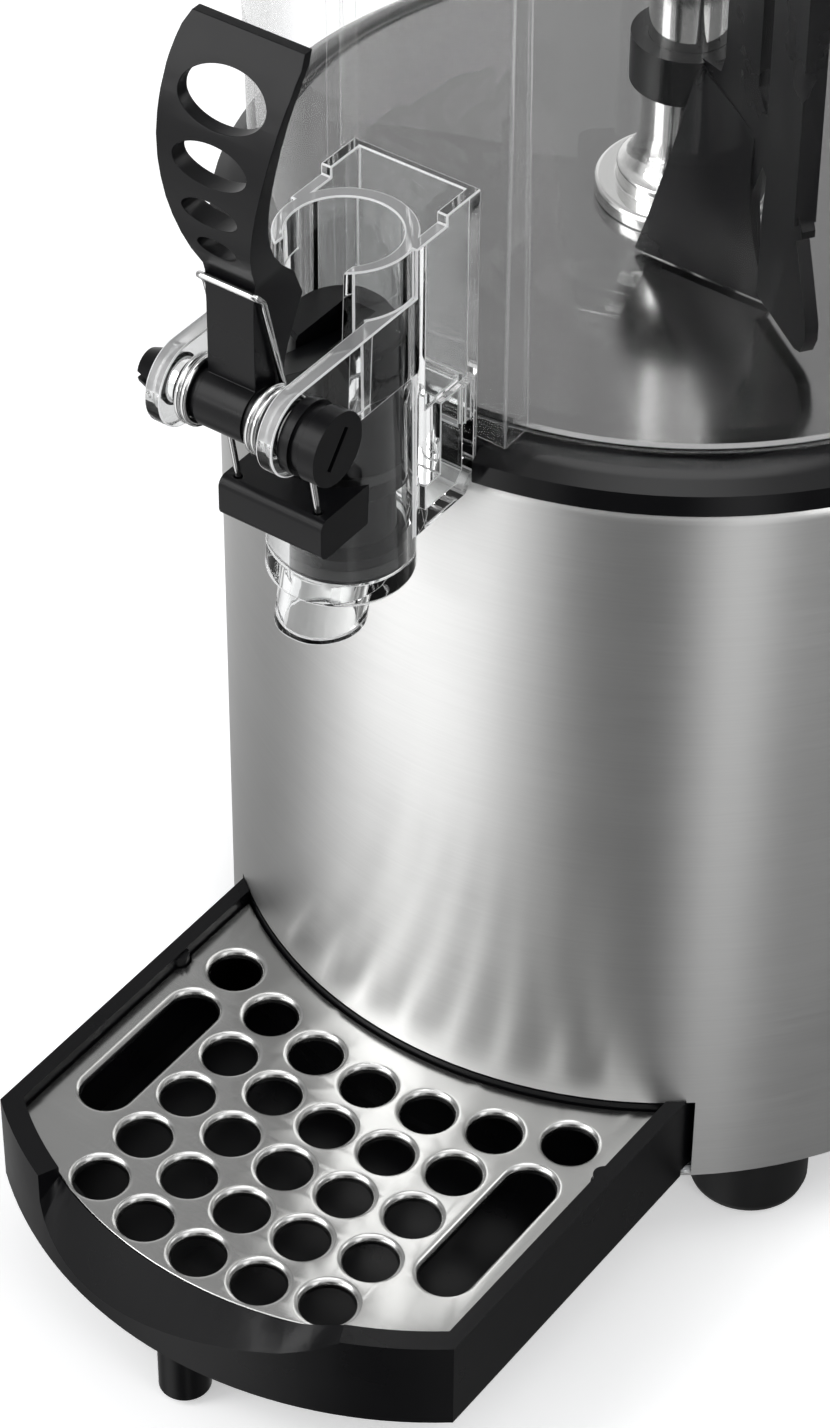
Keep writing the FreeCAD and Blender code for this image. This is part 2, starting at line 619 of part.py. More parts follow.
def water_jacket():
    """Ring-shaped hot water trough under the floor."""
    top = FLOOR_Z - FLOOR_T
    low = JACKET_BASE
    t = JACKET_T
    trough = turned([(SLEEVE_R, low), (JACKET_R, low), (JACKET_R, top), (JACKET_R - t, top),
                     (JACKET_R - t, low + t), (SLEEVE_R + t, low + t), (SLEEVE_R + t, top), (SLEEVE_R, top)])
    holes = [rod(ELEMENT_TUBE + RUN, low, low + t, side * ELEMENT_END_X, ELEMENT_R) for side in (-1, 1)]
    return trough.cut(Part.makeCompound(holes))


def heating_element():
    """Tubular heater in the jacket with two ends through its floor."""
    gap = math.degrees(math.asin(ELEMENT_END_X / ELEMENT_R))
    loop = Part.makeTorus(ELEMENT_R, ELEMENT_TUBE, V(0, 0, ELEMENT_Z), Z_AXIS, 0, 360, 360 - 2 * gap)
    loop = turn_z(loop, 90 + gap)
    y = ELEMENT_R * math.cos(math.radians(gap))
    legs = []
    for side in (-1, 1):
        x = side * ELEMENT_END_X
        legs.append(rod(ELEMENT_TUBE, JACKET_BASE - ELEMENT_TAIL, ELEMENT_Z, x, ELEMENT_R))
        legs.append(Part.makeSphere(ELEMENT_TUBE + 0.3, V(x, y + 0.6, ELEMENT_Z)))
    return fuse(loop, *legs)


def column_base():
    """Turned steel foot of the column: flange, step and flared neck, spigot below the floor."""
    flange_top = FLOOR_Z + 5.0
    flare = [(STEP_R, 10.0), (17.4, 10.8), (15.4, 13.4), (14.1, 17.5), (13.4, 23.0)]
    spigot_base = FLOOR_Z - 28.0
    return turned([(COLUMN_R, spigot_base), (SPIGOT_R, spigot_base), (SPIGOT_R, FLOOR_Z), (FLANGE_R, FLOOR_Z),
                   (FLANGE_R, flange_top - 1), (FLANGE_R - 1, flange_top), (STEP_R, flange_top)]
                  + [(r, FLOOR_Z + z) for r, z in flare] + [(NECK_R, NECK_TOP), (COLUMN_R, NECK_TOP)])


def column_nut():
    """Hexagon nut that clamps the column foot under the tank floor."""
    corner_r = 20.0
    height = 9.0
    top = FLOOR_Z - FLOOR_T
    corners = [V(corner_r * math.cos(math.radians(60 * i)), corner_r * math.sin(math.radians(60 * i)),
                 top - height) for i in range(6)]
    return prism(corners, V(0, 0, height)).cut(rod(SPIGOT_R, top - height - OVER, FLOOR_Z))


def column_tube():
    """Fixed steel tube around the drive shaft."""
    return tube(COLUMN_R, COLUMN_R - COLUMN_WALL, COLUMN_FOOT, COLUMN_TOP)


def bush(z0):
    """Plain bearing in the column tube."""
    return tube(COLUMN_R - COLUMN_WALL, SHAFT_R + RUN, z0, z0 + BUSH_L)


def drive_shaft():
    """Stainless shaft with two flats at its upper end."""
    shaft = rod(SHAFT_R, SHAFT_FOOT, SHAFT_TOP)
    low = COLUMN_TOP + 2
    for side in (-1, 1):
        y0 = min(side * SHAFT_FLAT, side * (SHAFT_R + OVER))
        shaft = shaft.cut(box(-SHAFT_R, SHAFT_R, y0, y0 + SHAFT_R + OVER - SHAFT_FLAT, low, SHAFT_TOP))
    return shaft


def shaft_coupling():
    """Sleeve that joins the gearbox output to the drive shaft, with a clamp screw."""
    top = SHAFT_FOOT + COUPLING_UP
    low = SHAFT_FOOT - COUPLING_DOWN
    sleeve = rod(COUPLING_R, low, top).cut(rod(SHAFT_R, SHAFT_FOOT, top)).cut(rod(OUTPUT_R, low, SHAFT_FOOT))
    clamp = rod_x(2.0, COUPLING_R - OVER, COUPLING_R + 2.5, 0, SHAFT_FOOT + COUPLING_UP / 2)
    return fuse(sleeve, clamp)


def gearbox():
    """Cast gearbox with a filleted case and a round output boss."""
    half_x, half_y, height = GEARBOX
    case = box(-half_x, half_x, -half_y, half_y, GEARBOX_TOP - height, GEARBOX_TOP)
    upright = [edge for edge in case.Edges if abs(edge.tangentAt(0).z) > 0.9]
    case = case.makeFillet(8, upright)
    bore_r = OUTPUT_R + RUN
    boss_top = GEARBOX_TOP + BOSS_H
    boss = tube(BOSS_R, bore_r, GEARBOX_TOP, boss_top)
    return fuse(case, boss).cut(rod(bore_r, GEARBOX_TOP - OUTPUT_DEPTH, boss_top))


def gear_output():
    """Output stub of the gearbox."""
    return rod(OUTPUT_R, GEARBOX_TOP - OUTPUT_DEPTH, SHAFT_FOOT)


def motor():
    """Laminated motor with a winding and two end brackets, under the gearbox."""
    half_x, half_y, height = MOTOR
    top = GEARBOX_TOP - GEARBOX[2]
    stack = box(-half_x, half_x, -half_y, half_y, top - height * 0.65, top - height * 0.25)
    coil = box(-half_x - 8, 12 - half_x, -half_y * 0.6, half_y * 0.6, top - height * 0.8, top - height * 0.1)
    bell = rod(half_y * 0.7, top - height, top)
    return fuse(stack, coil, bell)


def motor_bracket():
    """Bent steel bridge that carries the gearbox over the base plate."""
    top = GEARBOX_TOP + BRACKET_T
    shapes = [box(-BRACKET_HALF, BRACKET_HALF, -BRACKET_W, BRACKET_W, GEARBOX_TOP, top)]
    for side in (-1, 1):
        x0 = min(side * BRACKET_HALF, side * (BRACKET_HALF - BRACKET_T))
        shapes.append(box(x0, x0 + BRACKET_T, -BRACKET_W, BRACKET_W, PLATE_TOP, top))
        f0 = min(side * BRACKET_HALF, side * (BRACKET_HALF + BRACKET_FOOT))
        shapes.append(box(f0, f0 + BRACKET_FOOT, -BRACKET_W, BRACKET_W, PLATE_TOP, PLATE_TOP + BRACKET_T))
    return fuse(*shapes).cut(rod(BOSS_R + LOOSE, GEARBOX_TOP, top))


def stirrer():
    """Moulded stirrer: hub on the shaft, bridge, one wide paddle with a plough and a guide collar."""
    hub = rod(HUB_TOP_R, COLUMN_TOP + LOOSE, BRIDGE_TOP + 4)
    collar = rod(COLLAR_R, COLLAR_BASE, COLLAR_TOP)
    bridge = box(0, RIM_IN, -BRIDGE_HALF, BRIDGE_HALF, BRIDGE_BASE, BRIDGE_TOP)
    body = fuse(hub, collar, turn_z(fuse(bridge, paddle()), PADDLE_ANGLE), plough())
    bore = rod(SHAFT_R + 0.02, COLUMN_TOP, SHAFT_TOP + 0.5)
    guide = rod(COLUMN_R + 0.08, COLLAR_BASE - 1, COLLAR_TOP + 12)
    return body.cut(bore).cut(guide)


def paddle():
    """Upright plate along +X: two uprights with a long opening, a waist and a foot that flares out."""
    mid = COLLAR_TOP
    out = PADDLE_OUT
    outline = [(COLLAR_R - 3, mid - 14), (COLLAR_R - 3, mid), (28.0, mid + 4), (30.5, mid + 10),
               (30.5, BRIDGE_BASE), (out, BRIDGE_BASE), (out, mid - 7), (out + 2.8, mid - 10.5),
               (out + 2.6, mid - 13), (out - 0.6, mid - 15.5), (out + 4.5, mid - 26.5), (out + 9.4, mid - 38),
               (out + 9.4, mid - 43), (out + 7, mid - 48), (out + 3, mid - 49.5), (61.6, mid - 49.5),
               (61.6, mid - 25), (63.0, mid - 9), (60.0, mid - 7.6), (52.2, mid - 24.5), (34.0, mid - 49.0),
               (28.5, mid - 49.0)]
    plate = prism([V(x, -PADDLE_T / 2, z) for x, z in outline], V(0, PADDLE_T, 0))
    low = mid + 9
    half = PADDLE_T
    high = BRIDGE_BASE - 2 * PADDLE_T
    opening = prism([V(SLOT_IN, -half, high), V(SLOT_IN, -half, low + 6), V(SLOT_OUT, -half, low),
                     V(SLOT_OUT, -half, high)], V(0, 2 * half, 0))
    rim = box(RIM_IN, out, -RIM_T / 2, RIM_T / 2, mid - 10, BRIDGE_TOP)
    return fuse(plate.cut(opening), rim)


def strip(a, b, z, thickness):
    """Closed level outline around the line from a to b."""
    direction = V(b[0] - a[0], b[1] - a[1], 0).normalize()
    side = V(-direction.y, direction.x, 0).multiply(thickness / 2)
    start = V(a[0], a[1], z)
    end = V(b[0], b[1], z)
    corners = [start.add(side), end.add(side), end.sub(side), start.sub(side)]
    return Part.makePolygon(corners + corners[:1])


def plough():
    """Twisted blade from the collar down to the tank floor."""
    top = strip((11.5, -9.5), (44.0, -31.0), COLLAR_TOP - 1.0, PADDLE_T)
    middle = strip((10.5, -21.0), (44.5, -33.0), COLLAR_TOP - 24.0, 3.6)
    low = strip((6.8, -33.9), (52.3, -34.3), FLOOR_Z + 1.6, 3.0)
    return Part.makeLoft([low, middle, top], True)


# ---- bowl and tap -------------------------------------------------------------------------
def bowl():
    """Clear bowl without a floor of its own, with a flat front pad and an outlet window."""
    bead_low = BOWL_TOP - RIM_BEAD_H
    rim_in = BOWL_TOP_R - 1
    rim_out = BOWL_TOP_R + RIM_BEAD
    outer = turned([(0, BOWL_BASE), (BOWL_BASE_R, BOWL_BASE), (BOWL_TOP_R, BOWL_TOP), (0, BOWL_TOP)])
    skirt = rod(BOWL_BASE_R, BOWL_BASE - BOWL_SKIRT, BOWL_BASE)
    bead = turned([(rim_in, bead_low - 1), (rim_out, bead_low + 1), (rim_out, BOWL_TOP - 0.6),
                   (rim_out - 0.6, BOWL_TOP), (rim_in, BOWL_TOP)])
    pad_root = -BOWL_BASE_R * 0.8
    pad = box(-PAD_HALF, PAD_HALF, -PAD_Y, pad_root, BOWL_BASE, BOWL_TOP)
    solid = fuse(outer, skirt, bead, pad)
    low_in = BOWL_BASE_R - BOWL_WALL
    top_in = BOWL_TOP_R - BOWL_WALL
    low = BOWL_BASE - BOWL_SKIRT - OVER
    top = BOWL_TOP + OVER
    inner = turned([(0, low), (low_in, low), (low_in, BOWL_BASE), (top_in, top), (0, top)])
    half_in = PAD_HALF - BOWL_WALL
    pad_in = box(-half_in, half_in, BOWL_WALL - PAD_Y, pad_root, BOWL_BASE + PAD_FLOOR, top)
    window = box(-WINDOW_HALF, WINDOW_HALF, -PAD_Y - OVER, BOWL_WALL + OVER - PAD_Y, WINDOW_BASE, WINDOW_TOP)
    return solid.cut(inner.fuse(pad_in)).cut(window)


def tap_barrel():
    """Outer shape of the tap's upright cylinder, which leans a little."""
    return slant(TAP_BASE_R, TAP_BASE_Y, TAP_BASE, TAP_TOP_R, TAP_TOP_Y, TAP_TOP)


def tap_body():
    """Clear tap: box on the bowl pad, upright cylinder with a lever slot, spout and ears."""
    back = BORE_Y + 4.0
    block = box(-BOX_HALF, BOX_HALF, back, -PAD_Y, BOX_BASE, BOX_TOP)
    spout = slant(SPOUT_R, SPOUT_Y, SPOUT_BASE, SPOUT_R + 0.2, SPOUT_TOP_Y, TAP_BASE + 4)
    ears = []
    for side in (-1, 1):
        x0 = min(side * EAR_IN, side * EAR_OUT)
        x1 = x0 + EAR_OUT - EAR_IN
        ears.append(rod_x(EAR_R, x0, x1, PIVOT_Y, PIVOT_Z))
        ears.append(box(x0, x1, PIVOT_Y, BORE_Y + 8.0, PIVOT_Z - EAR_R, PIVOT_Z + EAR_R))
    solid = fuse(block, tap_barrel(), spout, *ears)
    wide = BOX_HALF + OVER
    chamfer = plate_x([(-PAD_Y - 5, BOX_BASE - OVER), (-PAD_Y - 5, BOX_BASE), (-PAD_Y, BOX_BASE + 5),
                       (OVER - PAD_Y, BOX_BASE + 5), (OVER - PAD_Y, BOX_BASE - OVER)], -wide, wide)
    bore = rod(BORE_R, BORE_BASE, BOX_TOP + OVER, 0, BORE_Y)
    outlet = slant(SPOUT_R - SPOUT_WALL, SPOUT_Y, SPOUT_BASE - OVER, SPOUT_R - SPOUT_WALL - 0.4,
                   SPOUT_TOP_Y + 0.8, BORE_BASE + 0.5)
    inside = BOX_HALF - BOX_WALL
    front = BORE_Y + BORE_R
    rear = -PAD_Y - 2.5
    pocket = box(-inside, inside, back + 4, rear, POCKET_BASE, BOX_TOP + OVER).cut(tap_barrel())
    above = box(-wide, wide, BORE_Y - 34, BORE_Y + 17.4, TAP_TOP, BOX_TOP + OVER)
    duct_top = WINDOW_TOP + 2
    riser = BORE_Y + 19.5
    duct = plate_x([(front - 3, PORT_BASE), (rear - 3.1, PORT_BASE), (rear, PORT_BASE + 3.1),
                    (rear, duct_top),
                    (riser, duct_top), (riser, PORT_TOP), (front - 3, PORT_TOP)], 3 - inside, inside - 3)
    window = box(-WINDOW_HALF, WINDOW_HALF, rear - OVER, OVER - PAD_Y, WINDOW_BASE, WINDOW_TOP)
    slot = box(-SLOT_HALF, SLOT_HALF, BORE_Y - 34, BORE_Y, SLOT_BASE, BOX_TOP + OVER)
    pivot = rod_x(PIVOT_PIN_R + RUN, -wide, wide, PIVOT_Y, PIVOT_Z)
    for cutter in (chamfer, above, bore, outlet, pocket, duct, window, slot, pivot):
        solid = solid.cut(cutter)
    return solid


def tap_piston():
    """Plunger: two sealed lands with a waist between them and a slot for the lever."""
    low = BORE_BASE + 0.1
    groove_r = SEAL_INNER_R - RUN
    profile = [(0, low), (PISTON_R - 1, low), (PISTON_R, low + 1)]
    for base in (SEAL_LOW, SEAL_HIGH):
        if base == SEAL_HIGH:
            profile += [(PISTON_NECK_R, LAND_LOW_TOP + WAIST), (PISTON_NECK_R, LAND_HIGH_BASE - WAIST),
                        (PISTON_R, LAND_HIGH_BASE)]
        profile += [(PISTON_R, base - SEAL_GAP), (groove_r, base - SEAL_GAP),
                    (groove_r, base + SEAL_H + SEAL_GAP), (PISTON_R, base + SEAL_H + SEAL_GAP)]
        if base == SEAL_LOW:
            profile += [(PISTON_R, LAND_LOW_TOP)]
    profile += [(PISTON_R, PISTON_TOP - 1), (PISTON_R - 1, PISTON_TOP), (0, PISTON_TOP)]
    solid = turned(profile)
    solid.translate(V(0, BORE_Y, 0))
    half = ARM_HALF + ARM_SLOT_GAP
    slot = box(-half, half, BORE_Y - BORE_R - OVER, BORE_Y + ARM_SLOT_BACK, CROSS_PIN_Z - ARM_SLOT_DROP,
               PISTON_TOP + OVER)
    return solid.cut(slot).cut(piston_pin())


def piston_seals():
    """Two rubber rings in the piston's grooves."""
    return Part.makeCompound([tube(BORE_R - 0.04, SEAL_INNER_R, base, base + SEAL_H, 0, BORE_Y)
                              for base in (SEAL_LOW, SEAL_HIGH)])


def piston_pin():
    """Steel cross pin that the lever lifts."""
    return rod_x(CROSS_PIN_R, -CROSS_PIN_HALF, CROSS_PIN_HALF, BORE_Y, CROSS_PIN_Z)


def face_arc(circle, z):
    """Y of a handle face at height z."""
    y, z_mid, r = circle
    return y - math.sqrt(r * r - (z - z_mid) ** 2)


def tap_lever():
    """Curved handle with four oval openings, hub with spring spools and a forked arm."""
    steps = 12
    heights = [BLADE_TOP - i * (BLADE_TOP - BLADE_BEND) / steps for i in range(steps + 1)]
    front = [(face_arc(BLADE_FRONT, z), z) for z in heights]
    back = [(face_arc(BLADE_BACK, z), z) for z in reversed(heights)]
    reach = BLADE_WIDTHS[2][1] + OVER
    body = plate_x(front + list(STEM) + back, -reach, reach)
    deep = HUB_R + SPOOL_HALF + 4
    outline = [V(w, -deep, z) for z, w in BLADE_WIDTHS] + [V(-w, -deep, z) for z, w in reversed(BLADE_WIDTHS)]
    body = body.common(prism(outline, V(0, 2 * deep, 0)))
    hub = rod_x(HUB_R, -HUB_HALF, HUB_HALF, 0, 0)
    spool = rod_x(SPOOL_R, -SPOOL_HALF, SPOOL_HALF, 0, 0)
    tilt = math.degrees(math.atan2(PIVOT_Z - CROSS_PIN_Z, BORE_Y - PIVOT_Y))
    arm = box(-ARM_HALF, ARM_HALF, 0, ARM_L, -ARM_DEPTH, ARM_DEPTH)
    root = plate_x([(0, SPOOL_R), (0, -SPOOL_R), (20, -ARM_DEPTH), (20, ARM_DEPTH)], -ARM_HALF, ARM_HALF)
    wide = ARM_HALF + OVER
    gap = CROSS_PIN_R + FORK_GAP
    arm = arm.fuse(root).cut(box(-wide, wide, FORK_START, ARM_L + OVER, -gap, gap))
    arm.rotate(V(0, 0, 0), X_AXIS, -tilt)
    lever = fuse(body, hub, spool, arm)
    holes = []
    for z, a, b in BLADE_HOLES:
        oval = Part.Ellipse(V(0, 0, 0), a, b).toShape()
        oval = Part.Face(Part.Wire(oval)).extrude(V(0, 0, 2 * deep))
        oval.rotate(V(0, 0, 0), X_AXIS, 90)
        oval.translate(V(0, deep, z))
        holes.append(oval)
    bore = rod_x(PIVOT_PIN_R + RUN, -SPOOL_HALF - OVER, SPOOL_HALF + OVER, 0, 0)
    lever = lever.cut(Part.makeCompound(holes)).cut(bore)
    lever.translate(V(0, PIVOT_Y, PIVOT_Z))
    return lever


def lever_pin():
    """Snap-in pivot pin with a slotted spool-shaped head and a split end."""
    head = EAR_OUT + 0.2
    tip = -EAR_OUT - 0.6
    shaft = rod_x(PIVOT_PIN_R, tip - 0.4, head + OVER, PIVOT_Y, PIVOT_Z)
    inner = rod_x(PIN_HEAD_R, head, head + 3.2, PIVOT_Y, PIVOT_Z)
    waist = rod_x(PIN_WAIST_R, head, head + 7, PIVOT_Y, PIVOT_Z)
    outer = rod_x(PIN_HEAD_R, head + 6.3, head + 11.6, PIVOT_Y, PIVOT_Z)
    snap = Part.makeCone(PIVOT_PIN_R + 1.4, PIVOT_PIN_R - 1, 7.5, V(tip, PIVOT_Y, PIVOT_Z), V(-1, 0, 0))
    pin = fuse(shaft, inner, waist, outer, snap)
    cut_half = 0.9
    driver = box(head + 9.0, head + 12.0, -6.2, 6.2, -cut_half, cut_half)
    driver.rotate(V(0, 0, 0), X_AXIS, 51)
    driver.translate(V(0, PIVOT_Y, PIVOT_Z))
    split = box(tip - 9, tip + 6, PIVOT_Y - 9, PIVOT_Y + 9, PIVOT_Z - cut_half, PIVOT_Z + cut_half)
    return pin.cut(driver).cut(split)


def bend(before, corner, after, radius, count=5):
    """Points of a round bend at a corner between two straight stretches of wire."""
    to_before = before.sub(corner).normalize()
    to_after = after.sub(corner).normalize()
    half = to_before.getAngle(to_after) / 2
    cut_back = radius / math.tan(half)
    centre_way = to_before.add(to_after).normalize()
    centre = corner.add(V(centre_way).multiply(radius / math.sin(half)))
    start = corner.add(V(to_before).multiply(cut_back)).sub(centre)
    end = corner.add(V(to_after).multiply(cut_back)).sub(centre)
    sweep = start.getAngle(end)
    points = []
    for index in range(count):
        t = index / (count - 1)
        mixed = V(start).multiply(math.sin((1 - t) * sweep)).add(V(end).multiply(math.sin(t * sweep)))
        points.append(centre.add(mixed.multiply(1 / math.sin(sweep))))
    return points


def straight(start, end, spacing=6.0):
    """Evenly spaced points strictly between two ends."""
    way = end.sub(start)
    count = max(1, int(way.Length / spacing))
    return [start.add(V(way).multiply(i / count)) for i in range(1, count)]


def swept_wire(points, radius, sides=8):
    """Wire of many flats along a path, its section carried along without twisting."""
    across = V(1, 0, 0)
    wires = []
    for index, point in enumerate(points):
        ahead = points[min(index + 1, len(points) - 1)]
        behind = points[max(index - 1, 0)]
        along = ahead.sub(behind).normalize()
        across = across.sub(V(along).multiply(across.dot(along))).normalize()
        third = along.cross(across)
        corners = []
        for side in range(sides):
            angle = 2 * math.pi * side / sides
            offset = V(across).multiply(radius * math.cos(angle)).add(
                V(third).multiply(radius * math.sin(angle)))
            corners.append(point.add(offset))
        wires.append(Part.makePolygon(corners + corners[:1]))
    return Part.makeLoft(wires, True, True)


def return_spring():
    """Double torsion spring swept as one wire: foot, coil, crossbar, coil, foot."""
    lean = math.radians(12)
    per_turn = 16
    foot = V(COIL_END, SPRING_FOOT_Y, SPRING_FOOT_Z)
    half_path = []
    for index in range(int(COIL_TURNS * per_turn) + 1):
        angle = lean + 2 * math.pi * index / per_turn
        x = COIL_END - COIL_PITCH * index / per_turn
        half_path.append(V(x, PIVOT_Y + COIL_R * math.cos(angle), PIVOT_Z + COIL_R * math.sin(angle)))
    half_path = [foot] + straight(foot, half_path[0]) + half_path
    rise = V(COIL_START, PIVOT_Y + 0.1, CROSSBAR_Z - 3.0)
    corner = V(COIL_START, CROSSBAR_Y, CROSSBAR_Z)
    middle = V(0, CROSSBAR_Y, CROSSBAR_Z)
    coil_end = half_path[-1]
    over_bar = bend(rise, corner, middle, 1.6)
    half_path += straight(coil_end, rise) + bend(coil_end, rise, corner, 2.4) + over_bar
    half_path += straight(over_bar[-1], middle, 4.0)
    mirrored = [V(-p.x, p.y, p.z) for p in reversed(half_path)]
    return swept_wire(half_path + [middle] + mirrored, WIRE_R)


def spring_bar():
    """Black bar clipped across the front of the tap that holds the spring legs."""
    bar = box(-SPRING_BAR_HALF, SPRING_BAR_HALF, SPRING_BAR_FRONT, SPRING_BAR_BACK,
              SPRING_BAR_BASE, SPRING_BAR_TOP)
    edges = [edge for edge in bar.Edges
             if abs(edge.CenterOfMass.y - SPRING_BAR_FRONT) < 0.1 and abs(edge.CenterOfMass.x) < 0.1]
    bar = bar.makeFillet(3.0, edges)
    holes = []
    for side in (-1, 1):
        top = V(side * COIL_END, SPRING_FOOT_Y - 3.2, SPRING_FOOT_Z + 17)
        low = V(side * COIL_END, SPRING_FOOT_Y + 0.2, SPRING_FOOT_Z - 1)
        holes.append(Part.makeCylinder(WIRE_R + 0.35, top.sub(low).Length, low, top.sub(low)))
    return bar.cut(tap_barrel()).cut(Part.makeCompound(holes))


# ---- lid ----------------------------------------------------------------------------------
def lid():
    """Clear lid with a flange on the rim, a locating rib and a shallow crown."""
    rib_r = BOWL_TOP_R - BOWL_WALL - 0.5
    rib_in = rib_r - 2.2
    rib_base = BOWL_TOP - LID_RIB_H
    flange = BOWL_TOP + LID_T
    shoulder_r = LID_R - 22.0
    crown_r = 24.0
    edge = 0.8
    return turned([(LID_BORE_R, LID_CROWN - LID_T), (crown_r, LID_CROWN - LID_T), (shoulder_r, BOWL_TOP + 2),
                   (rib_in, BOWL_TOP), (rib_in, rib_base), (rib_r, rib_base), (rib_r, BOWL_TOP),
                   (LID_R - edge, BOWL_TOP), (LID_R, BOWL_TOP + edge), (LID_R, flange - edge),
                   (LID_R - edge, flange), (rib_r - 4, flange), (shoulder_r, flange + 2.4),
                   (crown_r, LID_CROWN), (LID_BORE_R, LID_CROWN)])


def lid_knob():
    """Waisted black knob on the lid."""
    knob = turned([(0, LID_CROWN), (15, LID_CROWN), (15, LID_CROWN + 2), (9.5, LID_CROWN + 5),
                   (9.0, LID_CROWN + 8), (12, KNOB_TOP - 9), (19, KNOB_TOP - 6.5), (20, KNOB_TOP - 4),
                   (18.5, KNOB_TOP - 1.4), (13, KNOB_TOP), (0, KNOB_TOP)])
    return knob.cut(rod(FOOT_SCREW_R, LID_CROWN, LID_CROWN + 12))


def lid_knob_screw():
    """Screw through the lid into the knob."""
    head = LID_CROWN - LID_T
    head_r = 6.0
    head_h = 2.4
    low = head - head_h
    shape = fuse(rod(head_r, low, head), rod(FOOT_SCREW_R, head - 1, LID_CROWN + 11.5))
    return shape.cut(box(-head_r, head_r, -DRIVER_W / 2, DRIVER_W / 2, low, low + DRIVER_DEPTH))


# ---- controls -----------------------------------------------------------------------------
def control_panel():
    """Black curved panel on the side of the body."""
    sheet = tube(BODY_R + PANEL_T, BODY_R, PANEL_BASE, PANEL_TOP)
    sector = Part.makeCylinder(BODY_R + 6, PANEL_TOP - PANEL_BASE, V(0, 0, PANEL_BASE), Z_AXIS,
                               2 * PANEL_SPAN_DEG)
    panel = sheet.common(turn_z(sector, -PANEL_SPAN_DEG))
    half_w, half_h = SWITCH_HALF
    border = 3.5
    seat = box(BODY_R - 6, SEAT_R, -half_w - border, half_w + border,
               SWITCH_Z - half_h - border, SWITCH_Z + half_h + border)
    disc = rod_x(KNOB_R + 3, BODY_R - 6, SEAT_R, 0, KNOB_Z)
    raised = Part.makeCompound([seat, disc]).cut(rod(BODY_R, PANEL_BASE, PANEL_TOP))
    return fuse(panel, *raised.Solids).cut(panel_holes())


def thermostat():
    """Capillary thermostat behind the panel, with its spindle."""
    face = BODY_R - 3.2
    case = box(face - 33.8, face, -17, 17, KNOB_Z - 20, KNOB_Z + 20)
    spindle = rod_x(SPINDLE_R, face - 14, BODY_R + PANEL_T + SPINDLE_L, 0, KNOB_Z)
    collar = rod_x(SPINDLE_R + 2, face - 14, BODY_R - SKIN - 0.1, 0, KNOB_Z)
    return fuse(case, spindle, collar)


def thermostat_knob():
    """Turning knob with a grip bar and a pointer groove."""
    base = SEAT_R + NEST
    top = base + KNOB_L
    skirt = Part.makeCone(KNOB_R, KNOB_R - 1.5, 4, V(base, 0, KNOB_Z), X_AXIS)
    grip = box(base, top, -5, 5, KNOB_Z - KNOB_R + 2.5, KNOB_Z + KNOB_R - 2.5)
    crown = rod_x(KNOB_R - 6, base, top - 3, 0, KNOB_Z)
    knob = fuse(skirt, grip, crown)
    groove = box(top - 0.6, top + OVER, -0.6, 0.6, KNOB_Z + 3, KNOB_Z + KNOB_R)
    return knob.cut(groove).cut(rod_x(SPINDLE_R + RUN, base - OVER, base + SPINDLE_L - 0.6, 0, KNOB_Z))


def switch_frame():
    """Snap-in frame and body of the mains switch."""
    half_w, half_h = SWITCH_HALF
    edge = SWITCH_EDGE
    snug = 0.1
    bezel = box(SEAT_R, SEAT_R + edge, -half_w - edge, half_w + edge,
                SWITCH_Z - half_h - edge, SWITCH_Z + half_h + edge)
    case = box(BODY_R - 22, SEAT_R + edge, snug - half_w, half_w - snug,
               SWITCH_Z - half_h + snug, SWITCH_Z + half_h - snug)
    well = box(SEAT_R - 6, SEAT_R + edge + OVER, edge - half_w, half_w - edge,
               SWITCH_Z - half_h + edge, SWITCH_Z + half_h - edge)
    return fuse(bezel, case).cut(well)


def rocker_switch():
    """Rocking key with its two faces at a shallow angle."""
    half_w, half_h = SWITCH_HALF
    w = half_w - SWITCH_EDGE - LOOSE
    h = half_h - SWITCH_EDGE - 3 * LOOSE
    corners = [(-2.0, -h), (2.4, -h), (1.6, 0), (4.0, h), (-2.0, h), (-5.5, 0)]
    return prism([V(SEAT_R + x, -w, SWITCH_Z + z) for x, z in corners], V(0, 2 * w, 0))


def pilot_lamp():
    """Small domed lamp in the panel."""
    face = BODY_R + PANEL_T
    stem = rod_x(LAMP_R, BODY_R - 14, face, 0, LAMP_Z)
    return fuse(stem, Part.makeCone(LAMP_R + 1.4, LAMP_R - 0.6, 3, V(face, 0, LAMP_Z), X_AXIS))


def cable_gland():
    """Cable gland at the back of the body: nut inside, dome outside."""
    x0 = BODY_R - 10
    outside = BODY_R + 4
    stem = rod_x(GLAND_R, x0, BODY_R + 2, 0, GLAND_Z)
    nut = rod_x(GLAND_NUT_R, x0 + 4, BODY_R - SKIN - 2 * LOOSE, 0, GLAND_Z)
    flange = rod_x(GLAND_NUT_R + 0.5, BODY_R + LOOSE, outside, 0, GLAND_Z)
    dome = Part.makeCone(GLAND_R + 2, GLAND_R - 0.5, 7, V(outside, 0, GLAND_Z), X_AXIS)
    return fuse(stem, nut, flange, dome).cut(rod_x(4.2, x0 - OVER, outside + 8, 0, GLAND_Z))


def terminal_block():
    """Mains terminals on the base plate."""
    x, y = TERMINAL_AT
    length, width, height = TERMINAL
    top = PLATE_TOP + height
    block = box(x, x + length, y, y + width, PLATE_TOP, top)
    cuts = [rod(2.2, top - height / 2, top, x + length * (i + 0.7) / 4.4, y + width / 2) for i in range(4)]
    return block.cut(Part.makeCompound(cuts))


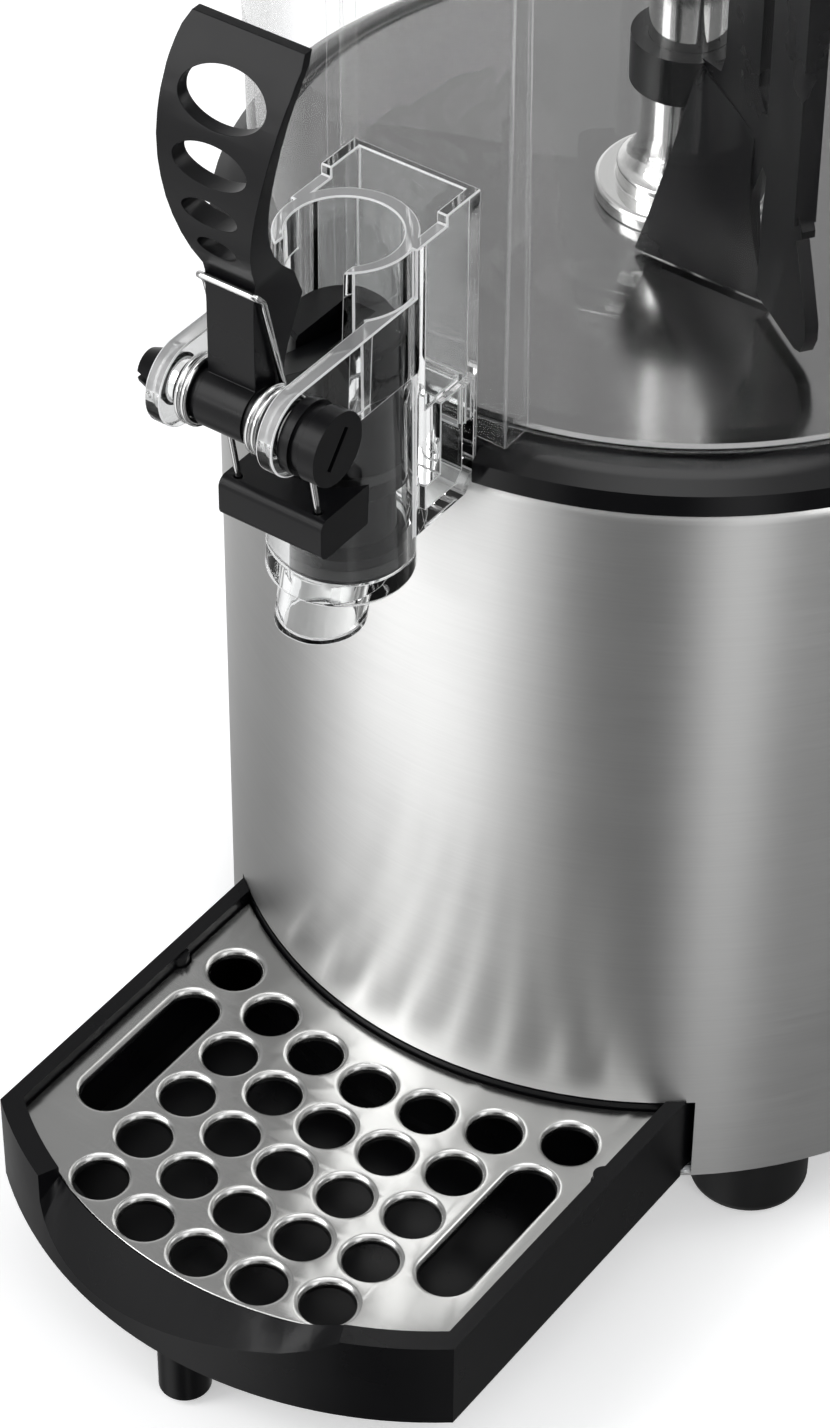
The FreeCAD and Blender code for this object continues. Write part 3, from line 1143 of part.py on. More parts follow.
def main():
    """Build and write every node."""
    os.makedirs("parts", exist_ok=True)
    nodes = {
        "body_shell": body_shell(), "base_plate": base_plate(), "rubber_feet": rubber_feet(),
        "foot_screws": foot_screws(), "shell_screws": shell_screws(), "splash_wall": splash_wall(),
        "drip_tray": drip_tray(), "tray_grille": tray_grille(), "bowl_seal_ring": bowl_seal_ring(),
        "tank_floor": tank_floor(), "water_jacket": water_jacket(), "heating_element": heating_element(),
        "column_base": column_base(), "column_nut": column_nut(), "column_tube": column_tube(),
        "lower_bush": bush(COLUMN_FOOT), "upper_bush": bush(COLUMN_TOP - BUSH_L),
        "drive_shaft": drive_shaft(), "shaft_coupling": shaft_coupling(), "gearbox": gearbox(),
        "gear_output": gear_output(), "motor": motor(), "motor_bracket": motor_bracket(),
        "stirrer": stirrer(), "bowl": bowl(), "tap_body": tap_body(), "tap_piston": tap_piston(),
        "piston_seals": piston_seals(), "piston_pin": piston_pin(), "tap_lever": tap_lever(),
        "lever_pin": lever_pin(), "return_spring": return_spring(), "spring_bar": spring_bar(),
        "lid": lid(), "lid_knob": lid_knob(), "lid_knob_screw": lid_knob_screw(),
        "terminal_block": terminal_block(),
    }
    for node, shape in (("control_panel", control_panel()), ("thermostat", thermostat()),
                        ("thermostat_knob", thermostat_knob()), ("switch_frame", switch_frame()),
                        ("rocker_switch", rocker_switch()), ("pilot_lamp", pilot_lamp())):
        nodes[node] = turn_z(shape, PANEL_DEG)
    nodes["cable_gland"] = turn_z(cable_gland(), GLAND_DEG)
    for node, shape in nodes.items():
        write(node, shape)


main()
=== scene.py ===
"""Dressed scene of a countertop hot drink dispenser: studio, camera, finishes and fine surfaces.

Lengths in the classes are millimetres from the body's upright axis and from the table top; the
helper ``place`` turns them into the frame's metres.
"""
from __future__ import annotations

import enum
import json
import logging
import math
from dataclasses import dataclass, field

import bmesh
import bpy
import numpy as np
from mathutils import Matrix, Vector
from mathutils.geometry import delaunay_2d_cdt

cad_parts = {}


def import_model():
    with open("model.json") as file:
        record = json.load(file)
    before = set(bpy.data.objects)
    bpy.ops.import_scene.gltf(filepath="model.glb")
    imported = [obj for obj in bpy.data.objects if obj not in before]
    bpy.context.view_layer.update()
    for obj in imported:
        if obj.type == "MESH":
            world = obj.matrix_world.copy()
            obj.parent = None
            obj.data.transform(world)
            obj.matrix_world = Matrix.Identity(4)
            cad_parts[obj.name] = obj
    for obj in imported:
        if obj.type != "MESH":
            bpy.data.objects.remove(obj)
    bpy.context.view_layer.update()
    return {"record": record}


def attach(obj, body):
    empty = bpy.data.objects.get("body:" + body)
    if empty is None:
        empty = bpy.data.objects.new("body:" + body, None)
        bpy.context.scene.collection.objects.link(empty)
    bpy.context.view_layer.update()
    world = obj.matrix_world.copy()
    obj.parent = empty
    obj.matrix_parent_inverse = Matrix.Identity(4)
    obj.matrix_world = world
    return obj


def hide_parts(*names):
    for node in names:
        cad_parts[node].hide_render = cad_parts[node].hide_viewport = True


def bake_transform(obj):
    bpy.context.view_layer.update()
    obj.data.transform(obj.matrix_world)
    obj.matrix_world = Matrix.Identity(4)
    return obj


Material = bpy.types.Material
Node = bpy.types.Node
Tree = bpy.types.NodeTree
Socket = bpy.types.NodeSocket
Pair = tuple[float, float]
Triple = tuple[float, float, float]
Names = tuple[str, ...]
Widths = tuple[tuple[str, float], ...]

LOG = logging.getLogger("dispenser")
MM = 0.001
AXIS_Y = 60.75
METRE_CELLS = 1e6            # points of a node that share a micrometre cell become one
GRILLE_CELLS = 1e4           # the same for the grille, whose points are in millimetres
FLAT_DEGREES = 0.6           # faces that turn less than this are joined before their edges are rounded
EASED_DEGREES = 40.0         # edges sharper than this are rounded
METAL_NOISE = (0.35, 0.65)   # noise values at which a metal's tone and roughness reach their ends
MOULD_NOISE = (0.3, 0.7)     # the same for moulded plastic


class Look(enum.Enum):
    """Angle in degrees above which an edge stays sharp."""

    ROUND = 50.0
    MOULDED = 35.0


class Grain(enum.Enum):
    """Way the fine lines of a metal run."""

    AROUND = "around the upright axis"
    LENGTHWISE = "across the machine from side to side"
    EVEN = "no direction"


def srgb(code: str) -> tuple[float, float, float, float]:
    """Turn an sRGB hex colour into linear values.

    Args:
        code: Six hex digits with a leading hash.

    Returns:
        Linear red, green and blue, and an alpha of one.
    """
    channels = [int(code[i:i + 2], 16) / 255 for i in (1, 3, 5)]
    linear = [c / 12.92 if c <= 0.04045 else ((c + 0.055) / 1.055) ** 2.4 for c in channels]
    return (linear[0], linear[1], linear[2], 1.0)


def grey(value: float) -> tuple[float, float, float, float]:
    """Return a linear grey as an opaque colour."""
    return (value, value, value, 1.0)


def place(points: np.ndarray) -> np.ndarray:
    """Move millimetre points about the body axis into the frame, in metres."""
    return (np.asarray(points, dtype=float) + np.array([0.0, AXIS_Y, 0.0])) * MM


# ---- node trees ----
def add_node(tree: Tree, kind: str, settings: dict | None = None, sockets: dict | None = None,
             links: dict | None = None) -> Node:
    """Add a node with its settings, socket values and incoming links.

    Args:
        tree: Node tree to add to.
        kind: Blender node type, such as ``ShaderNodeTexNoise``.
        settings: Node attributes by name.
        sockets: Values by input name or index.
        links: Output sockets by input name or index.

    Returns:
        The new node.
    """
    node = tree.nodes.new(kind)
    for name, value in (settings or {}).items():
        setattr(node, name, value)
    for name, value in (sockets or {}).items():
        node.inputs[name].default_value = value
    for name, output in (links or {}).items():
        tree.links.new(output, node.inputs[name])
    return node


def calculate(tree: Tree, operation: str, *values: Socket | float) -> Socket:
    """Join two numbers with a math node.

    Args:
        tree: Node tree to add to.
        operation: Blender's name of the operation.
        values: The two numbers, as output sockets or plain values.

    Returns:
        The result's socket.
    """
    links = {i: value for i, value in enumerate(values) if isinstance(value, Socket)}
    plain = {i: value for i, value in enumerate(values) if i not in links}
    return add_node(tree, "ShaderNodeMath", {"operation": operation}, plain, links).outputs["Value"]


def remap(tree: Tree, value: Socket, limits: Pair, levels: Pair = (0.0, 1.0), kind: str = "LINEAR") -> Socket:
    """Give a level that goes from the first to the second as a value passes its limits.

    Args:
        tree: Node tree to add to.
        value: The value to follow.
        limits: Values where the change starts and ends.
        levels: Level before and after it.
        kind: Blender's name of the curve between them.

    Returns:
        The level's socket.
    """
    ends = {"From Min": limits[0], "From Max": limits[1], "To Min": levels[0], "To Max": levels[1]}
    node = add_node(tree, "ShaderNodeMapRange", {"interpolation_type": kind}, ends, {"Value": value})
    return node.outputs["Result"]


def noise(tree: Tree, vector: Socket, scale: float, detail: float, roughness: float = 0.5) -> Socket:
    """Give the value of a noise texture.

    Args:
        tree: Node tree to add to.
        vector: Place at which the noise is read.
        scale: Grains per unit of the vector.
        detail: How many times finer noise is added.
        roughness: Strength of the finer noise.

    Returns:
        The noise's socket.
    """
    sockets = {"Scale": scale, "Detail": detail, "Roughness": roughness}
    return add_node(tree, "ShaderNodeTexNoise", sockets=sockets, links={"Vector": vector}).outputs["Fac"]


def object_place(tree: Tree) -> Socket:
    """Give the place in the frame, in metres."""
    return add_node(tree, "ShaderNodeTexCoord").outputs["Object"]


def add_bump(tree: Tree, shader: Node, height: Socket, depth_mm: float,
             strength: float = 0.3) -> None:
    """Let a height tilt the surface that a shader sees.

    Args:
        tree: Node tree to add to.
        shader: Principled shader.
        height: Height from 0 to 1.
        depth_mm: Millimetres that a height of 1 stands for.
        strength: Share of the tilt that is kept.
    """
    bump = add_node(tree, "ShaderNodeBump", sockets={"Strength": strength, "Distance": depth_mm * MM},
                    links={"Height": height})
    tree.links.new(bump.outputs["Normal"], shader.inputs["Normal"])


def add_object(name: str, data: bpy.types.ID) -> bpy.types.Object:
    """Make an object around its data and link it to the scene."""
    made = bpy.data.objects.new(name, data)
    bpy.context.scene.collection.objects.link(made)
    return made


def shade_smooth(mesh: bpy.types.Mesh) -> None:
    """Shade every face of a mesh smooth."""
    mesh.polygons.foreach_set("use_smooth", np.ones(len(mesh.polygons), dtype=bool))


def empty_tree(owner: Material | bpy.types.World) -> Tree:
    """Switch a material or a world to nodes and clear them."""
    owner.use_nodes = True
    owner.node_tree.nodes.clear()
    return owner.node_tree


def new_material(name: str) -> tuple[Material, Tree, Node]:
    """Make a material with a Principled shader joined to its output.

    Args:
        name: Material name.

    Returns:
        The material, its tree and its shader.
    """
    material = bpy.data.materials.new(name)
    tree = empty_tree(material)
    shader = add_node(tree, "ShaderNodeBsdfPrincipled")
    add_node(tree, "ShaderNodeOutputMaterial", links={"Surface": shader.outputs["BSDF"]})
    return material, tree, shader


def grain_vector(tree: Tree, grain: Grain, line_mm: Pair) -> Socket:
    """Give the texture vector in which one unit is one grain, long along the lines.

    Around the axis the first coordinate is the arc length, the angle about the upright axis times
    the distance from it; the others are that distance and the height.

    Args:
        tree: Node tree to add to.
        grain: Way the lines run.
        line_mm: Length and width of a line in millimetres.

    Returns:
        The scaled vector socket.
    """
    long_scale, cross_scale = (1.0 / (size * MM) for size in line_mm)
    centred = add_node(tree, "ShaderNodeMapping", sockets={"Location": (0.0, -AXIS_Y * MM, 0.0)},
                       links={"Vector": object_place(tree)})
    source = centred.outputs["Vector"]
    if grain is Grain.AROUND:
        x, y, z = add_node(tree, "ShaderNodeSeparateXYZ", links={"Vector": source}).outputs
        flat = add_node(tree, "ShaderNodeCombineXYZ", links={"X": x, "Y": y})
        length = add_node(tree, "ShaderNodeVectorMath", {"operation": "LENGTH"},
                          links={0: flat.outputs["Vector"]})
        radius = length.outputs["Value"]
        arc = calculate(tree, "MULTIPLY", calculate(tree, "ARCTAN2", y, x), radius)
        rolled = add_node(tree, "ShaderNodeCombineXYZ", links={"X": arc, "Y": radius, "Z": z})
        source = rolled.outputs["Vector"]
    first_scale = cross_scale if grain is Grain.EVEN else long_scale
    mapping = add_node(tree, "ShaderNodeMapping", sockets={"Scale": (first_scale, cross_scale, cross_scale)},
                       links={"Vector": source})
    return mapping.outputs["Vector"]


@dataclass(frozen=True)
class Steel:
    """Bare metal sheet, bar or casting; its polish or brushing shows as fine streaks."""

    name: str
    tone: str
    roughness: float
    grain: Grain = Grain.EVEN
    line_mm: Pair = (40.0, 0.7)     # length and width of a line, wider than real ones so that it shows
    line_depth: float = 0.0
    mottle: float = 0.02
    contrast: float = 0.06
    anisotropy: float = 0.0
    anisotropy_turn: float = 0.25   # in whole turns: a quarter lays the highlight across the lines
    cloud_scale: float = 18.0       # clouds per metre
    cloud_share: float = 0.4

    def build(self) -> Material:
        """Build the material.

        Returns:
            A metal whose tone, roughness and bump follow stretched noise sized in millimetres.
        """
        material, tree, shader = new_material(self.name)
        lines = grain_vector(tree, self.grain, self.line_mm)
        streaks = noise(tree, lines, scale=1.0, detail=3.0, roughness=0.6)
        clouds = noise(tree, object_place(tree), self.cloud_scale, detail=3.0)
        blend = add_node(tree, "ShaderNodeMix", {"data_type": "FLOAT"}, {0: self.cloud_share},
                         {2: streaks, 3: clouds}).outputs[0]
        rough = remap(tree, blend, METAL_NOISE, (self.roughness - self.mottle, self.roughness + self.mottle))
        tree.links.new(rough, shader.inputs["Roughness"])
        base = srgb(self.tone)
        dark = tuple(c * (1.0 - self.contrast) for c in base[:3]) + (1.0,)
        tone = add_node(tree, "ShaderNodeMix", {"data_type": "RGBA"}, {6: dark, 7: base},
                        {0: remap(tree, blend, METAL_NOISE)})
        tree.links.new(tone.outputs[2], shader.inputs["Base Color"])
        shader.inputs["Metallic"].default_value = 1.0
        if self.anisotropy > 0:
            shader.inputs["Anisotropic"].default_value = self.anisotropy
            shader.inputs["Anisotropic Rotation"].default_value = self.anisotropy_turn
            tangent = add_node(tree, "ShaderNodeTangent", {"direction_type": "RADIAL", "axis": "Z"})
            tree.links.new(tangent.outputs["Tangent"], shader.inputs["Tangent"])
        if self.line_depth > 0:
            add_bump(tree, shader, streaks, self.line_depth)
        return material


@dataclass(frozen=True)
class Moulded:
    """Injection-moulded plastic or rubber with a fine spark-eroded grain."""

    name: str
    tone: str
    roughness: float
    grain_mm: float = 0.6
    grain_depth: float = 0.02
    wear: float = 0.04
    specular: float = 0.5
    mark_scale: float = 35.0     # handling marks per metre
    marked: Pair = (1.3, 0.001)  # they multiply the tone by the first and add the second

    def build(self) -> Material:
        """Build the material.

        Returns:
            A dielectric with grain in its bump and soft handling marks in its roughness and tone.
        """
        material, tree, shader = new_material(self.name)
        spot = object_place(tree)
        marks = noise(tree, spot, self.mark_scale, detail=4.0)
        rough = remap(tree, marks, MOULD_NOISE, (self.roughness - self.wear, self.roughness + self.wear))
        base = srgb(self.tone)
        factor, added = self.marked
        lighter = tuple(min(1.0, c * factor + added) for c in base[:3]) + (1.0,)
        tone = add_node(tree, "ShaderNodeMix", {"data_type": "RGBA"}, {6: base, 7: lighter}, {0: marks})
        tree.links.new(tone.outputs[2], shader.inputs["Base Color"])
        tree.links.new(rough, shader.inputs["Roughness"])
        grain = noise(tree, spot, 1.0 / (self.grain_mm * MM), detail=2.0)
        add_bump(tree, shader, grain, self.grain_depth)
        shader.inputs["Specular IOR Level"].default_value = self.specular
        return material


@dataclass(frozen=True)
class ClearPlastic:
    """Polycarbonate moulding: clear, with slightly wavy walls that bend highlights."""

    name: str
    tone: str
    roughness: float = 0.02
    ior: float = 1.585
    wave_mm: float = 24.0
    wave_depth: float = 0.05
    alpha: float = 1.0
    clarity: float = 1.0
    wave_strength: float = 0.5
    steep: Pair = (0.6, 1.0)    # how far a thin wall turns away where it starts to show, and shows most
    side_alpha: float = 0.7     # opacity of a thin wall seen from its side

    def build(self) -> Material:
        """Build the material.

        Returns:
            A transmitting dielectric with a faint surface waviness.
        """
        material, tree, shader = new_material(self.name)
        waves = noise(tree, object_place(tree), 1.0 / (self.wave_mm * MM), detail=1.0)
        add_bump(tree, shader, waves, self.wave_depth, self.wave_strength)
        shader.inputs["Base Color"].default_value = srgb(self.tone)
        shader.inputs["Roughness"].default_value = self.roughness
        shader.inputs["IOR"].default_value = self.ior
        shader.inputs["Transmission Weight"].default_value = self.clarity
        if self.alpha < 1.0:
            facing = add_node(tree, "ShaderNodeLayerWeight", sockets={"Blend": 0.5})
            shown = remap(tree, facing.outputs["Facing"], self.steep, (self.alpha, self.side_alpha))
            tree.links.new(shown, shader.inputs["Alpha"])
        return material


# Stainless sheet reflects softly; brushed around the drum it draws every light into an upright band.
BRUSHED = Steel("brushed stainless sheet", "#E6E6E5", 0.36, Grain.AROUND, (30.0, 0.8), 0.004,
                contrast=0.05, anisotropy=0.8)
SATIN = Steel("satin polished stainless", "#B0B0AF", 0.23, Grain.LENGTHWISE, (24.0, 0.6), contrast=0.05)
# The tank floor's steel is toned darker than the other stainless: painted shade for the dim view it mirrors
# inside the bowl.
SHADED_DEEP_DRAWN = Steel("deep-drawn satin stainless toned darker as painted shade", "#929292", 0.15, Grain.AROUND, (14.0, 0.5), 0.002,
                   mottle=0.03, contrast=0.07)
TURNED = Steel("turned and polished stainless", "#EAEAE9", 0.09, Grain.AROUND, (20.0, 0.4), 0.002,
               contrast=0.05)
FINISHES = {
    "brushed_steel": BRUSHED,
    "polished_steel": TURNED,
    "zinc_steel": Steel("zinc plated steel", "#A9ABAE", 0.42, Grain.EVEN, (3.0, 3.0),
                        mottle=0.08, contrast=0.2),
    "heater_steel": Steel("heater sheath", "#7A7672", 0.5, Grain.EVEN, (2.0, 2.0), mottle=0.1, contrast=0.3),
    "spring_steel": Steel("drawn spring wire", "#D6D6D6", 0.14, Grain.EVEN, (0.4, 0.4), mottle=0.03),
    "brass": Steel("turned brass", "#B99A5A", 0.3, Grain.AROUND, (8.0, 0.5), mottle=0.04),
    "bearing_bronze": Steel("sintered bronze", "#9C7A50", 0.5, Grain.EVEN, (0.3, 0.3),
                            mottle=0.08, contrast=0.3),
    "cast_aluminium": Steel("die-cast aluminium", "#9FA1A3", 0.5, Grain.EVEN, (1.0, 1.0), 0.05,
                            mottle=0.08, contrast=0.2),
    "painted_motor": Moulded("motor lacquer", "#3A3B3E", 0.45),
    "black_plastic": Moulded("black satin polyamide", "#08080A", 0.3, specular=0.17),
    "white_plastic": Moulded("white polyamide", "#D8D8D2", 0.4),
    "seal_rubber": Moulded("glossy black silicone", "#08080A", 0.1, grain_depth=0.005, specular=0.22),
    "rubber": Moulded("matt foot rubber", "#101011", 0.5, grain_depth=0.05),
    "switch_green": Moulded("green switch key", "#1E6B38", 0.2),
    "lamp_amber": Moulded("amber lamp lens", "#D9842B", 0.15),
    "clear_plastic": ClearPlastic("clear polycarbonate", "#FDFEFE", ior=1.33),
}
THIN_CLEAR = ClearPlastic("thin clear polycarbonate", "#FBFDFD", alpha=0.03)
# The rounded edges and the upward rims of a clear moulding show as thin bright lines; they are painted
# highlights, finishes whiter and less clear than the walls.
CLEAR_EDGE_HIGHLIGHT = ClearPlastic("painted highlight on rounded edge of clear polycarbonate", "#FFFFFF", 0.2, ior=1.33, clarity=0.1)
CLEAR_RIM_HIGHLIGHT = ClearPlastic("painted highlight on cut rim of clear polycarbonate", "#FFFFFF", 0.1, ior=1.33, clarity=0.62)
THIN_EDGE_HIGHLIGHT = ClearPlastic("painted highlight on rounded edge of thin polycarbonate", "#FFFFFF", 0.12, ior=1.33, clarity=0.5,
                         alpha=0.3)


# ---- meshes ----
def mesh_object(name: str, vertices: np.ndarray, faces: list | np.ndarray, material: Material,
                body: str, look: Look) -> bpy.types.Object:
    """Make a piece from vertices in metres, shade it and let it ride on a body.

    Args:
        name: Piece name.
        vertices: Points as an (n, 3) array.
        faces: Vertex indices per face.
        material: Finish of the piece.
        body: Body the piece moves with.
        look: Angle from which an edge stays sharp.

    Returns:
        The new object.
    """
    mesh = bpy.data.meshes.new(name)
    mesh.from_pydata(np.asarray(vertices).tolist(), [], [list(map(int, face)) for face in faces])
    mesh.validate()
    mesh.update()
    shade_smooth(mesh)
    mesh.set_sharp_from_angle(angle=math.radians(look.value))
    mesh.materials.append(material)
    piece = add_object(name, mesh)
    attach(piece, body)
    return piece


def merge_points(points: np.ndarray, cells: float) -> tuple[np.ndarray, np.ndarray]:
    """Make one point of those that fall in the same small cell.

    Args:
        points: Points as an (n, 3) array.
        cells: Cells per unit of length.

    Returns:
        The merged points, and the index of its merged point for each point given.
    """
    found, index = np.unique(np.round(points * cells).astype(np.int64), axis=0, return_inverse=True)
    return found / cells, index.reshape(-1)


def merged_mesh(node: str) -> tuple[np.ndarray, np.ndarray]:
    """Read a node's triangles with shared vertices, without those that shrink to a line.

    Args:
        node: Node to read.

    Returns:
        Points in metres and vertex indices per triangle.
    """
    source = bpy.data.objects[node].data
    source.calc_loop_triangles()
    points = np.empty(len(source.vertices) * 3)
    source.vertices.foreach_get("co", points)
    triangles = np.empty(len(source.loop_triangles) * 3, dtype=np.int64)
    source.loop_triangles.foreach_get("vertices", triangles)
    merged, index = merge_points(points.reshape(-1, 3), METRE_CELLS)
    triangles = index[triangles].reshape(-1, 3)
    apart = ((triangles[:, 0] != triangles[:, 1]) & (triangles[:, 1] != triangles[:, 2])
             & (triangles[:, 0] != triangles[:, 2]))
    return merged, triangles[apart]


def ease_edges(piece: bpy.types.Object, width_mm: float, segments: int,
               edge: Material | None = None) -> None:
    """Round a piece's sharp edges as a mould does.

    Triangles that lie in one plane are first joined, so that only real edges are left to round.

    Args:
        piece: Piece to ease.
        width_mm: Width of the rounding.
        segments: Facets across the rounding.
        edge: Finish of the rounding where it carries a painted highlight, whiter than the faces beside it.
    """
    mesh = piece.data
    shape = bmesh.new()
    shape.from_mesh(mesh)
    bmesh.ops.dissolve_limit(shape, angle_limit=math.radians(FLAT_DEGREES), verts=shape.verts,
                             edges=shape.edges)
    shape.to_mesh(mesh)
    shape.free()
    shade_smooth(mesh)
    mesh.set_sharp_from_angle(angle=math.pi)
    bevel = piece.modifiers.new("eased edges", "BEVEL")
    bevel.width = width_mm * MM
    bevel.segments = segments
    bevel.limit_method = "ANGLE"
    bevel.angle_limit = math.radians(EASED_DEGREES)
    # Clamped, the width shrinks to suit the smallest faces, and a strip with its painted highlight would not
    # show.
    bevel.use_clamp_overlap = edge is None
    # The rounding gets the finish of the painted highlight.
    if edge is not None:
        mesh.materials.append(edge)
        bevel.material = len(mesh.materials) - 1
    weighted = piece.modifiers.new("flat faces stay flat", "WEIGHTED_NORMAL")
    weighted.keep_sharp = True


# ---- stage ----
@dataclass
class Studio:
    """Pale floor, bright surround with soft darker gaps, lamps and the camera.

    The camera's place is in millimetres in the frame; what stands about the machine is in metres.
    """

    camera_at: Triple = (573.903, -877.011, 1050.464)
    forward: Triple = (-0.437263, 0.613246, -0.657822)
    right: Triple = (0.811565, 0.584239, 0.005190)
    lens_mm: float = 113.6316
    sensor_mm: float = 36.0
    floor_half: float = 6.0
    floor_clear: float = 0.94   # share of the mirrored view that passes through the floor
    floor_glow: float = 0.42    # what the floor adds of its own where it is seen
    clip_end: float = 50.0
    aim_height: float = 0.28
    surround: str = "#D9DADC"
    surround_level: float = 0.62
    # Compass degrees about the machine and how bright the studio is there when metal mirrors it.
    bands: tuple[Pair, ...] = (
        (-180, 0.4), (-160, 0.24), (-144, 0.8), (-128, 1.45), (-105, 1.45), (-90, 0.65), (-78, 0.1),
        (-56, 0.06), (-39, 0.85), (-24, 0.12), (-8, 0.12), (20, 0.26), (60, 0.25), (100, 0.75), (140, 1.0),
        (165, 0.55))
    # The same higher up, where surfaces that look up see it.
    upper_bands: tuple[Pair, ...] = (
        (-180, 0.6), (-130, 1.3), (-90, 1.6), (-20, 1.5), (30, 1.0), (80, 0.55), (125, 0.5), (155, 0.5))
    # Heights below are the upward part of a direction: 0 is level and 1 is straight up.
    horizon: Pair = (0.4, 0.7)              # where the lower bands end, the upper are full
    overhead: Triple = (0.93, 0.98, 3.0)    # where the light above starts, is full, and its level
    ceiling_fade: Triple = (0.1, 0.8, 0.8)  # where what clear plastic shows fades from, to, and its rest
    shaded_near_floor: Triple = (0.14, 0.5, 0.3)   # painted shade seen where metal mirrors the floor: metres from the axis where it is darkest and where it ends, and its level at the first
    # Name, place, width and height, and watts.
    lamps: tuple[tuple[str, Triple, Pair, float], ...] = (
        ("key", (-1.3, -1.6, 1.9), (1.0, 1.6), 22.0), ("fill", (2.2, -0.6, 1.2), (0.8, 1.6), 8.0),
        ("back", (1.3, 1.7, 2.2), (1.4, 1.0), 12.0), ("strip", (-1.0, -2.15, 0.85), (2.0, 0.18), 9.0))

    def build_camera(self) -> None:
        """Aim the camera along its axes."""
        ahead = Vector(self.forward).normalized()
        right = Vector(self.right).normalized()
        up = right.cross(ahead)
        data = bpy.data.cameras.new("camera")
        data.sensor_fit = "VERTICAL"
        data.sensor_height = self.sensor_mm
        data.sensor_width = self.sensor_mm
        data.lens = self.lens_mm
        data.clip_end = self.clip_end
        camera = add_object("camera", data)
        turn = Matrix((right, up, -ahead)).transposed().to_4x4()
        camera.matrix_world = Matrix.Translation(Vector(self.camera_at) * MM) @ turn
        bpy.context.scene.camera = camera

    def add_bands(self, tree: Tree, vector: Socket, bands: tuple[Pair, ...]) -> Socket:
        """Give the studio's brightness by compass direction, smooth between the listed places.

        Args:
            tree: Node tree to add to.
            vector: Direction whose compass direction counts.
            bands: Compass degrees and brightness, from -180 on.

        Returns:
            The brightness as a colour socket.
        """
        axes = add_node(tree, "ShaderNodeSeparateXYZ", links={"Vector": vector})
        angle = calculate(tree, "ARCTAN2", axes.outputs["Y"], axes.outputs["X"])
        ramp = add_node(tree, "ShaderNodeValToRGB", links={"Fac": remap(tree, angle, (-math.pi, math.pi))})
        ramp.color_ramp.interpolation = "EASE"
        stops = ramp.color_ramp.elements
        stops[0].position, stops[0].color = 0.0, grey(bands[0][1])
        stops[1].position, stops[1].color = 1.0, grey(bands[0][1])
        for degrees, level in bands[1:]:
            stops.new(degrees / 360.0 + 0.5).color = grey(level)
        return ramp.outputs["Color"]

    def build_floor(self) -> None:
        """Lay a large white floor that keeps the machine's shadow.

        Metal mirrors mostly what is beyond the floor; near the machine that view is darkened by a painted
        shade, seen only in mirrored rays.
        """
        half = self.floor_half
        mesh = bpy.data.meshes.new("floor")
        mesh.from_pydata([(-half, -half, 0), (half, -half, 0), (half, half, 0), (-half, half, 0)], [],
                         [(0, 1, 2, 3)])
        material = bpy.data.materials.new("floor paper")
        tree = empty_tree(material)
        rays = add_node(tree, "ShaderNodeLightPath").outputs
        seen = calculate(tree, "MAXIMUM", rays["Is Camera Ray"], rays["Is Transmission Ray"])
        seen = calculate(tree, "MAXIMUM", seen, rays["Is Glossy Ray"])
        paper = add_node(tree, "ShaderNodeBsdfDiffuse", sockets={"Color": srgb("#FAFAFA")})
        light = add_node(tree, "ShaderNodeEmission", sockets={"Color": grey(1.0)},
                         links={"Strength": calculate(tree, "MULTIPLY", seen, self.floor_glow)})
        both = add_node(tree, "ShaderNodeAddShader", links={0: paper.outputs[0], 1: light.outputs[0]})
        away = add_node(tree, "ShaderNodeVectorMath", {"operation": "DISTANCE"},
                        sockets={1: (0.0, AXIS_Y * MM, 0.0)}, links={0: object_place(tree)})
        # painted shade near the machine, seen only where metal mirrors the floor
        near, far, level = self.shaded_near_floor
        painted_floor_shade = remap(tree, away.outputs["Value"], (near, far), (level, 1.0))
        clear = add_node(tree, "ShaderNodeBsdfTransparent", links={"Color": painted_floor_shade})
        share = calculate(tree, "MULTIPLY", rays["Is Glossy Ray"], self.floor_clear)
        out = add_node(tree, "ShaderNodeMixShader",
                       links={0: share, 1: both.outputs[0], 2: clear.outputs[0]})
        add_node(tree, "ShaderNodeOutputMaterial", links={"Surface": out.outputs[0]})
        mesh.materials.append(material)
        floor = add_object("floor", mesh)

    def build_world(self) -> None:
        """Build the surround: even as a light, white where it is seen, banded where metal mirrors it."""
        world = bpy.data.worlds.new("surround")
        bpy.context.scene.world = world
        tree = empty_tree(world)
        ahead = add_node(tree, "ShaderNodeTexCoord").outputs["Generated"]
        up = add_node(tree, "ShaderNodeSeparateXYZ", links={"Vector": ahead}).outputs["Z"]
        fade, high, above = (
            remap(tree, up, limits, levels, "SMOOTHSTEP")
            for limits, levels in ((self.ceiling_fade[:2], (1.0, self.ceiling_fade[2])),
                                   (self.horizon, (0.0, 1.0)),
                                   (self.overhead[:2], (0.0, self.overhead[2]))))
        lower, upper = (self.add_bands(tree, ahead, bands) for bands in (self.bands, self.upper_bands))
        around = add_node(tree, "ShaderNodeMix", {"data_type": "RGBA"},
                          links={0: high, 6: lower, 7: upper})
        bands = add_node(tree, "ShaderNodeMix", {"data_type": "RGBA", "blend_type": "ADD"}, sockets={0: 1.0},
                         links={6: around.outputs[2], 7: above})
        rays = add_node(tree, "ShaderNodeLightPath").outputs
        lit = add_node(tree, "ShaderNodeBackground",
                       sockets={"Color": srgb(self.surround), "Strength": self.surround_level})
        mirrored = add_node(tree, "ShaderNodeBackground", sockets={"Strength": 1.0},
                            links={"Color": bands.outputs[2]})
        through = add_node(tree, "ShaderNodeBackground", sockets={"Color": grey(1.0)},
                           links={"Strength": fade})
        white = add_node(tree, "ShaderNodeBackground", sockets={"Color": grey(1.0), "Strength": 1.0})
        seen = lit
        for ray, other in (("Glossy", mirrored), ("Transmission", through), ("Camera", white)):
            seen = add_node(tree, "ShaderNodeMixShader",
                            links={0: rays[f"Is {ray} Ray"], 1: seen.outputs[0], 2: other.outputs[0]})
        add_node(tree, "ShaderNodeOutputWorld", links={"Surface": seen.outputs[0]})

